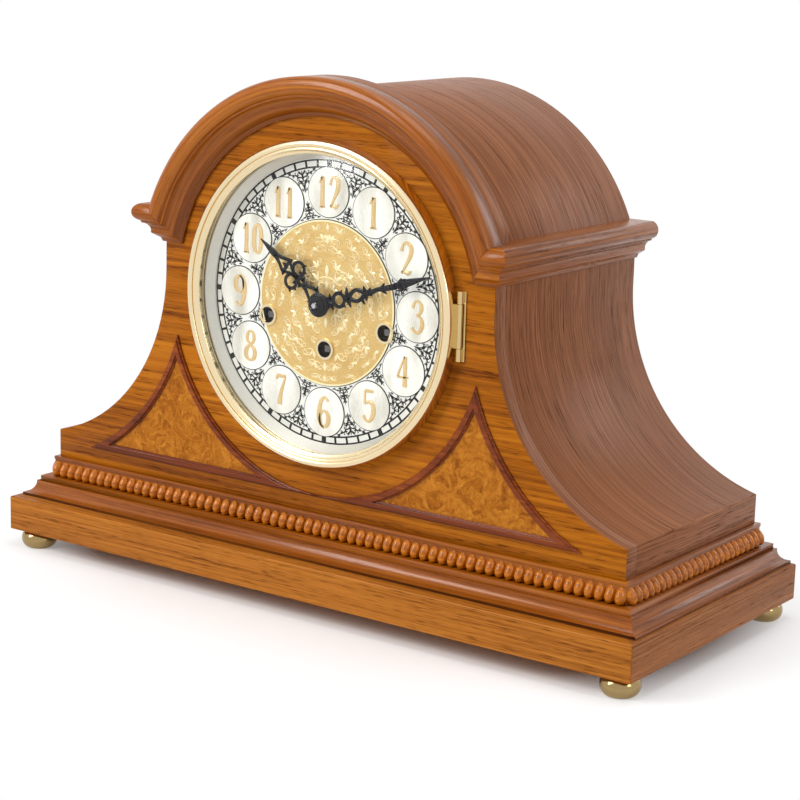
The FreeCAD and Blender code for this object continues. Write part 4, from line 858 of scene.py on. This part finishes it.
def inner_filigree():
    """Vines that fill the corner between two discs and the gilt centre."""
    rim = CENTRE_RADIUS + 0.9
    vines = []
    for across, above, heading, reach, turns, width in (
        (0.3, 9.0, 165, 4.4, -0.9, 0.36),
        (0.4, 6.4, 130, 4.6, -0.95, 0.38),
        (0.6, 4.0, 110, 4.8, 0.95, 0.4),
        (0.4, 1.8, 84, 5.0, -0.8, 0.36),
        (3.8, 1.4, 80, 4.0, 0.8, 0.32),
    ):
        vines.append(spiral((across, rim + above), heading, reach, turns, width))
    for x, low_at, end_x, high_at, width in (
        (0.5, 0.8, 3.6, 0.5, 0.65),
        (0.6, 5.0, 2.6, 6.6, 0.6),
        (3.0, 2.2, 5.4, 1.4, 0.55),
        (5.8, 0.6, 8.4, 0.4, 0.5),
        (0.4, 8.6, 1.4, 10.6, 0.5),
    ):
        vines.append(leaf((x, rim + low_at), (end_x, rim + high_at), width))
    return both_sides(vines) + [leaf((0.0, rim + 0.4), (0.0, rim + 12.0), 0.75)]


def filigree():
    parts = []
    for hour in range(12):
        for lines in (outer_filigree(), inner_filigree()):
            drawn = strokes(lines, 0.24, sides=0, smoothness=3)
            parts.append(set_on_dial(drawn, DIAL_FACE - 0.1, 30.0 * hour + 15.0))
    add("dial_filigree", joined(parts), "ink", "case", 60.0)


# Rows of scroll roots on half the gilt centre: radius, how many, reach, half width.
SCROLL_ROWS = (
    (10.0, 3, 12.0, 0.42),
    (17.0, 4, 14.0, 0.45),
    (25.0, 6, 14.0, 0.45),
    (33.0, 7, 14.0, 0.45),
    (40.5, 9, 12.0, 0.42),
    (47.0, 11, 8.0, 0.36),
)
SCROLL_SEED = 5
CENTRE_LEAVES = ((8.6, 16.0, 1.3), (17.0, 25.0, 1.6), (38.0, 44.0, 1.5), (46.0, 51.0, 1.2))
HUB_CLEAR = 6.0
RIM_CLEAR = 1.6
KEY_HOLE_CLEAR = 8.0
KEY_HOLES = ((0.0, -29.5), (-46.5, -13.0), (46.5, -13.0))


def clear_of_holes(points):
    """The runs of a line that stay on the gilt and off the hub and the key holes."""
    runs = [[]]
    for point in points:
        inside = HUB_CLEAR < math.hypot(point[0], point[1]) < CENTRE_RADIUS - RIM_CLEAR
        if inside and all(math.dist(point[:2], hole) > KEY_HOLE_CLEAR for hole in KEY_HOLES):
            runs[-1].append(point)
        else:
            runs.append([])
    return [run for run in runs if len(run) > 3]


def centre_scrolls():
    """Raised acanthus scrolls on the gilt centre, mirrored left and right."""
    drift = random.Random(SCROLL_SEED)
    lines = []
    for base, count, size, width in SCROLL_ROWS:
        for i in range(count):
            angle = 180.0 / count * (i + 0.5 + drift.uniform(-0.3, 0.3))
            start = polar(base + drift.uniform(-1.5, 1.5), angle)
            for side in (-1, 1):
                lean = angle + drift.uniform(-35.0, 35.0)
                reach = size * drift.uniform(0.75, 1.2)
                lines.append(spiral(start, lean + side * 42, reach, side * 1.3, width, 20, 0.9))
                second = (lean + side * 118, reach * 0.7, side * -1.2, width * 0.8)
                lines.append(spiral(start, *second, 18, 0.9))
                tip = polar(base + reach * 0.3, angle + side * 120.0 / base)
                lines.append(leaf(start, tip, width * drift.uniform(1.6, 3.0)))
    for low_end, high_end, width in CENTRE_LEAVES:
        for angle in (0.0, 180.0):
            lines.append(leaf(polar(low_end, angle), polar(high_end, angle), width))
    kept = [(False, run) for _, points in both_sides(lines) for run in clear_of_holes(points)]
    drawn = strokes(kept, 0.8, sides=0, smoothness=3)
    rim = flat_ring(CENTRE_RADIUS - 1.1, CENTRE_RADIUS, DISC_FACE, steps=128, lift=0.25)
    scrolls = joined([set_on_dial(drawn, DISC_FACE - 0.05), rim])
    add("centre_scrolls", scrolls, "scroll", "case", 60.0)


# Each figure is drawn about its middle, some 10 wide and 20 high, with thick stems and hairlines.
THIN, THICK = 0.5, 1.55
FIGURES = {
    "0": [
        (
            True,
            [
                (0, 10, THIN), (-4.2, 6.5, THICK), (-4.2, -6.5, THICK), (0, -10, THIN),
                (4.2, -6.5, THICK), (4.2, 6.5, THICK),
            ],
        ),
    ],
    "1": [
        (False, [(0.2, 9.6, 1.2), (0.2, 4, 1.5), (0.2, -4, 1.3), (0.2, -9.6, 1.7)]),
        (False, [(-3.4, 5.4, 0.4), (-1.6, 7.2, 0.8), (0, 9.4, 1.0)]),
        (False, [(-2.6, -9.7, 0.45), (0.2, -9.2, 0.7), (3.0, -9.7, 0.45)]),
    ],
    "2": [
        (
            False,
            [
                (-4.4, 4.6, 1.1), (-3.8, 8.8, 0.6), (0, 10.4, 0.8), (4.6, 7.8, 1.5),
                (4.2, 2.6, 1.5), (0.6, -2.6, 0.9), (-3.4, -8.6, 0.6),
            ],
        ),
        (False, [(-4.2, -9.0, 0.6), (-1.6, -7.6, 1.0), (2.4, -9.6, 1.3), (4.8, -7.0, 0.4)]),
    ],
    "3": [
        (
            False,
            [
                (-4.2, 5.6, 1.1), (-2.8, 9.6, 0.6), (1.2, 10.2, 0.8), (4.2, 6.6, 1.5),
                (2.6, 2.0, 0.9), (-0.8, 1.2, 0.4),
            ],
        ),
        (
            False,
            [
                (-0.8, 1.2, 0.4), (3.4, 0.6, 0.8), (5.2, -4.6, 1.6), (2.4, -9.4, 0.9),
                (-1.8, -10.2, 0.7), (-4.6, -7.0, 1.1),
            ],
        ),
    ],
    "4": [
        (False, [(1.8, -9.6, 1.6), (1.8, -3, 1.3), (1.8, 3, 1.3), (1.8, 9.6, 1.2)]),
        (False, [(1.4, 9.6, 0.6), (-1.4, 4.4, 0.55), (-4.2, -1.2, 0.7), (-4.8, -3.6, 0.8)]),
        (False, [(-4.8, -3.8, 0.7), (0, -3.8, 0.7), (4.8, -3.4, 0.55)]),
    ],
    "5": [
        (False, [(-3.6, 9.6, 0.9), (0.6, 9.2, 1.1), (4.2, 9.8, 0.6)]),
        (False, [(-3.4, 9.2, 0.8), (-3.6, 5, 0.7), (-3.8, 1.2, 0.6)]),
        (
            False,
            [
                (-3.6, 1.0, 0.5), (0.2, 3.4, 0.9), (4.8, 0.8, 1.6), (4.6, -6.0, 1.6),
                (0.8, -10.4, 0.8), (-3.2, -9.4, 0.8), (-4.6, -6.6, 1.1),
            ],
        ),
    ],
    "6": [
        (
            False,
            [
                (3.8, 7.4, 0.9), (1.8, 10.2, 0.6), (-2.4, 8.6, 1.2), (-4.6, 2.0, 1.6),
                (-4.6, -4.4, 1.6), (-2.6, -9.2, 1.1), (0.4, -10.2, 0.7),
            ],
        ),
        (
            True,
            [
                (0.4, 1.6, THIN), (-3.6, -1.2, 0.9), (-3.8, -7.2, 1.0), (0.2, -10.2, THIN),
                (4.4, -7.4, THICK), (4.4, -1.4, THICK),
            ],
        ),
    ],
    "7": [
        (False, [(-4.6, 7.0, 0.8), (-3.4, 9.8, 0.9), (0.6, 8.8, 1.2), (4.6, 9.6, 0.7)]),
        (False, [(4.4, 9.2, 0.6), (2.0, 3.4, 0.9), (-0.4, -3.0, 1.4), (-1.0, -9.6, 1.6)]),
    ],
    "8": [
        (
            True,
            [
                (0, 10.2, THIN), (-3.4, 7.8, 1.2), (-3.4, 3.0, 1.2), (0, 0.8, 0.6),
                (3.4, 3.0, 1.2), (3.4, 7.8, 1.2),
            ],
        ),
        (
            True,
            [
                (0, 0.8, 0.6), (-4.4, -2.4, THICK), (-4.4, -7.8, THICK), (0, -10.2, THIN),
                (4.4, -7.8, THICK), (4.4, -2.4, THICK),
            ],
        ),
    ],
    "9": [
        (
            False,
            [
                (-3.8, -7.4, 0.9), (-1.8, -10.2, 0.6), (2.4, -8.6, 1.2), (4.6, -2.0, 1.6),
                (4.6, 4.4, 1.6), (2.6, 9.2, 1.1), (-0.4, 10.2, 0.7),
            ],
        ),
        (
            True,
            [
                (-0.4, -1.6, THIN), (3.6, 1.2, 0.9), (3.8, 7.2, 1.0), (-0.2, 10.2, THIN),
                (-4.4, 7.4, THICK), (-4.4, 1.4, THICK),
            ],
        ),
    ],
}
FIGURE_WIDTH = 9.6
DRAWN_WIDTH = 11.5
FIGURE_BOLD = 1.18
PAIR_PITCH = 0.98
PAIR_NARROW = 0.84


def numerals():
    parts = []
    for hour in range(1, 13):
        figures = str(hour)
        paired = len(figures) == 2
        pitch = FIGURE_WIDTH * (PAIR_PITCH if paired else 1.0)
        narrow = FIGURE_WIDTH / DRAWN_WIDTH * (PAIR_NARROW if paired else 1.0)
        for i, figure in enumerate(figures):
            shift = (i - (len(figures) - 1) / 2) * pitch
            lines = [
                (closed, [(x * narrow + shift, up, half * FIGURE_BOLD) for x, up, half in points])
                for closed, points in FIGURES[figure]
            ]
            disc = polar(DISC_RING, 30.0 * hour)
            parts.append(set_on_dial(strokes(lines, 0.9), DISC_FACE - 0.05, 0.0, disc))
    add("numerals", joined(parts), "numeral", "case", 50.0)


# Hands

RING_POINTS = 8
RING_SPREAD = 1.08  # a smooth stroke passes this much inside its points
HAND_BOLD = 1.25
NUT_BORE = 1.2
NUT_SQUARE = 1.8  # half the width of the arbor's squared end
SQUARE_FOOT = 2.4


def circle(centre, radius, half):
    """A closed ring stroke at a height up the hand."""
    x, up = centre
    points = []
    spread = radius * RING_SPREAD
    for i in range(RING_POINTS):
        turn = math.tau * i / RING_POINTS
        points.append((x + spread * math.cos(turn), up + spread * math.sin(turn), half))
    return (True, points)


def thorn(start, end, half):
    """A stroke that runs out to a point."""
    (ax, au), (bx, bu) = start, end
    return (False, [(ax, au, half), ((ax + bx) / 2, (au + bu) / 2, half * 0.8), (bx, bu, half * 0.12)])


def hour_hand():
    """Serpentine hour hand, from hub to tip."""
    lines = both_sides(
        [
            (
                False,
                [(1.0, 3.0, 1.3), (3.8, 6.0, 1.1), (4.2, 10.0, 1.0), (1.8, 14.0, 1.0), (0.6, 18.0, 1.5)],
            ),
            thorn((3.4, 8.2), (7.0, 9.4), 1.3),
            thorn((0.8, 20.4), (4.8, 20.6), 1.4),
            circle((5.1, 27.2), 4.5, 0.95),
            thorn((9.0, 25.6), (11.4, 23.6), 1.0),
            thorn((3.6, 24.4), (5.2, 25.6), 1.1),
            thorn((6.6, 22.8), (7.2, 20.6), 0.9),
            (False, [(0.4, 23.6, 1.4), (0.7, 27.2, 1.0), (1.4, 31.2, 0.8), (4.2, 35.4, 0.9)]),
            (False, [(0.0, 35.8, 1.2), (2.6, 35.4, 0.9), (5.0, 35.8, 1.5)]),
            (False, [(4.8, 36.2, 1.0), (3.0, 39.4, 0.9), (1.4, 43.4, 1.0), (0.4, 47.4, 1.5)]),
            thorn((4.6, 35.6), (6.6, 34.6), 1.3),
        ]
    )
    lines.append(circle((0.0, 20.8), 2.2, 0.9))
    lines.append(thorn((0.0, 36.0), (0.0, 39.4), 1.3))
    lines.append((False, [(0.0, 45.4, 1.8), (0.0, 48.6, 2.2), (0.0, 54.0, 1.5), (0.0, 62.0, 0.25)]))
    lines.append(circle((0.0, 0.0), 3.4, 2.0))
    return lines


def minute_hand():
    """Serpentine minute hand, from hub to tip."""
    lines = both_sides(
        [
            (False, [(0.6, 4.0, 2.2), (1.6, 8.4, 1.6), (2.0, 11.6, 1.2)]),
            thorn((1.6, 9.4), (5.4, 10.2), 1.2),
            thorn((0.6, 23.0), (6.6, 24.4), 1.7),
            thorn((3.6, 18.4), (5.6, 20.4), 1.0),
            (False, [(0.6, 24.6, 1.5), (3.4, 28.4, 1.0), (3.6, 32.6, 1.0), (0.8, 37.0, 1.5)]),
            thorn((0.8, 38.0), (4.8, 37.4), 1.5),
            thorn((0.6, 40.4), (2.8, 42.8), 1.1),
            thorn((0.7, 51.6), (3.6, 53.8), 1.3),
            thorn((0.8, 64.8), (3.8, 67.4), 1.4),
            thorn((1.6, 70.0), (3.0, 67.2), 1.0),
        ]
    )
    lines.append(circle((0.0, 16.2), 4.3, 1.0))
    lines.append((False, [(0.0, 21.0, 1.5), (0.0, 23.6, 1.8), (0.0, 25.4, 1.4)]))
    lines.append(thorn((3.2, 34.0), (6.8, 35.6), 1.1))
    stem = [(0.0, 36.6, 1.9), (0.5, 42.0, 1.4), (-0.7, 48.0, 1.1), (0.2, 54.0, 1.5), (0.3, 62.0, 1.6)]
    tip = [(0.2, 60.0, 1.6), (0.0, 66.0, 1.7), (0.0, 71.0, 2.1), (0.0, 78.0, 1.3), (0.0, 88.0, 0.25)]
    lines.extend([(False, stem), (False, tip)])
    lines.append(circle((0.0, 0.0), 3.2, 2.1))
    return lines


def hand_nut():
    """A stepped black cap with the squared end of the centre arbor in it."""
    front = low("hand_nut")[1]
    back = high("hand_nut")[1]
    flange = high("hand_nut")[0]
    points = [
        (NUT_BORE, back),
        (flange, back),
        (flange, back - 0.8),
        (flange - 0.4, back - 1.2),
        (flange - 1.6, back - 1.5),
        (flange - 2.2, back - 1.6),
        (flange - 2.3, back - 2.4),
        (flange - 2.7, back - 2.9),
        (flange - 3.8, back - 3.1),
        (flange - 4.2, back - 3.2),
        (flange - 4.4, back - 3.6),
        (NUT_BORE, back - 3.6),
    ]
    nut = turned(points, steps=72)
    piece = add("hand_nut_turned", nut, "hand", "minute_hand_set")
    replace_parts(piece, "hand_nut")
    square = bmesh.new()
    bmesh.ops.create_cube(square, size=1.0)
    size = (2 * NUT_SQUARE, back - SQUARE_FOOT - front, 2 * NUT_SQUARE)
    bmesh.ops.scale(square, vec=Vector(size) * MM, verts=square.verts)
    soften(square, square.edges[:], 0.45, 2)
    middle = Vector((0.0, (back - SQUARE_FOOT + front) / 2, DIAL_Z)) * MM
    place = Matrix.Translation(middle) @ Matrix.Rotation(math.radians(MINUTE_ANGLE), 4, "Y")
    bmesh.ops.transform(square, matrix=place, verts=square.verts)
    add("arbor_square", square, "dark_steel", "minute_hand_set", 30.0)


def hands():
    for node, lines, angle, body in (
        ("hour_hand", hour_hand(), HOUR_ANGLE, "hour_hand_set"),
        ("minute_hand", minute_hand(), MINUTE_ANGLE, "minute_hand_set"),
    ):
        middle = (low(node)[1] + high(node)[1]) / 2
        bold = [
            (closed, [(x, up, half * HAND_BOLD) for x, up, half in points]) for closed, points in lines
        ]
        drawn = strokes(bold, high(node)[1] - low(node)[1])
        hand = set_on_dial(drawn, middle, angle)
        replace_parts(add(node + "_serpentine", hand, "hand", body, 50.0), node)


# Room and camera

SKY_LEVEL = 0.42
# To these rays the background is plain white. The others light the clock.
BACKGROUND_RAYS = ("Is Camera Ray", "Is Glossy Ray", "Is Transmission Ray")
LAMP_AIM = (0.0, 0.0, 0.2)
# Name, place, aim, (width, height), watts.
LAMPS = (
    ("key_lamp", (-0.9, -1.5, 1.5), (0.0, 0.0, 0.15), (1.0, 1.0), 30.0),
    ("top_lamp", (0.2, 0.1, 1.7), LAMP_AIM, (1.2, 0.8), 10.0),
    ("side_lamp", (1.7, -0.3, 0.9), LAMP_AIM, (0.5, 0.9), 6.0),
    ("sheen_lamp", (1.0, 1.7, 1.0), (0.1, 0.0, 0.2), (0.8, 0.8), 6.0),
    ("window_lamp", (-1.1, -1.75, 0.85), LAMP_AIM, (0.3, 0.45), 7.0),
)


def area_lamp(name, place, aim, size, power):
    data = bpy.data.lights.new(name, "AREA")
    data.shape = "RECTANGLE"
    data.size, data.size_y = size
    data.energy = power
    lamp = bpy.data.objects.new(name, data)
    lamp.location = place
    lamp.rotation_euler = (Vector(aim) - Vector(place)).to_track_quat("-Z", "Y").to_euler()
    bpy.context.scene.collection.objects.link(lamp)


def floor():
    """A pale floor that takes the shadow near the clock, and is plain white farther out."""
    work = bmesh.new()
    bmesh.ops.create_grid(work, x_segments=1, y_segments=1, size=6.0)
    mesh = bpy.data.meshes.new("floor")
    work.to_mesh(mesh)
    work.free()
    piece = bpy.data.objects.new("floor", mesh)
    bpy.context.scene.collection.objects.link(piece)
    paint = Paint("pale_floor", 0.7)
    x, y, _ = paint.axes()
    reach = (x * x * 0.36 + y * y).maths("SQRT")
    glow = paint.curve(reach, (0.14, 0.0), (0.24, 1.0))
    tone = paint.noise(paint.place(), 3.0)
    paint.feed("Base Color", paint.mix(tone * 0.05, (0.93, 0.93, 0.93), (0.6, 0.6, 0.6)))
    seen = 0.0
    for name in BACKGROUND_RAYS:
        seen = paint.node("ShaderNodeLightPath", output=name).maths("MAXIMUM", seen)
    white = paint.node("ShaderNodeEmission", inputs={"Strength": 1.0})
    shader = Value(paint, paint.shader.outputs[0])
    mixed = paint.node("ShaderNodeMixShader", inputs={0: glow * seen, 1: shader, 2: white})
    paint.tree.links.new(mixed.socket, paint.tree.nodes["Material Output"].inputs["Surface"])
    mesh.materials.append(paint.material)


def studio():
    """A white world, dimmer where it lights the clock, and soft lamps."""
    world = bpy.data.worlds.new("studio")
    bpy.context.scene.world = world
    world.use_nodes = True
    tree = world.node_tree
    sky = tree.nodes["Background"]
    sky.inputs["Color"].default_value = (1.0, 1.0, 1.0, 1.0)
    rays = tree.nodes.new("ShaderNodeLightPath")
    socket = None
    for name in BACKGROUND_RAYS:
        most = tree.nodes.new("ShaderNodeMath")
        most.operation = "MAXIMUM"
        most.inputs[1].default_value = SKY_LEVEL
        tree.links.new(rays.outputs[name], most.inputs[0])
        if socket:
            tree.links.new(socket, most.inputs[1])
        socket = most.outputs[0]
    tree.links.new(socket, sky.inputs["Strength"])
    for lamp in LAMPS:
        area_lamp(*lamp)


CAMERA_PLACE = (0.82482, -1.15813, 0.43911)
CAMERA_YAW = -0.6150833
CAMERA_PITCH = 0.2171592
CAMERA_ROLL = 0.0280772
SENSOR = 36.0
FOCAL_PIXELS = 2183.1709
PICTURE_PIXELS = 800


def camera():
    """The photograph's viewpoint. Yaw turns from +Y towards +X, and pitch looks down."""
    ahead = Vector(
        (
            math.sin(CAMERA_YAW) * math.cos(CAMERA_PITCH),
            math.cos(CAMERA_YAW) * math.cos(CAMERA_PITCH),
            -math.sin(CAMERA_PITCH),
        )
    )
    right = Vector((math.cos(CAMERA_YAW), -math.sin(CAMERA_YAW), 0.0))
    up = right.cross(ahead)
    across = right * math.cos(CAMERA_ROLL) + up * math.sin(CAMERA_ROLL)
    above = up * math.cos(CAMERA_ROLL) - right * math.sin(CAMERA_ROLL)
    data = bpy.data.cameras.new("portrait")
    data.lens = FOCAL_PIXELS * SENSOR / PICTURE_PIXELS
    data.sensor_width = SENSOR
    eye = bpy.data.objects.new("portrait", data)
    turn = Matrix((across, above, -ahead)).transposed().to_4x4()
    eye.matrix_world = Matrix.Translation(CAMERA_PLACE) @ turn
    bpy.context.scene.collection.objects.link(eye)
    bpy.context.scene.camera = eye


camera()
floor()
studio()
dress_case()
bead_moulding()
bezel_ring()
minute_track()
filigree()
centre_scrolls()
numerals()
hands()
hand_nut()
bpy.context.scene.view_settings.view_transform = "Standard"
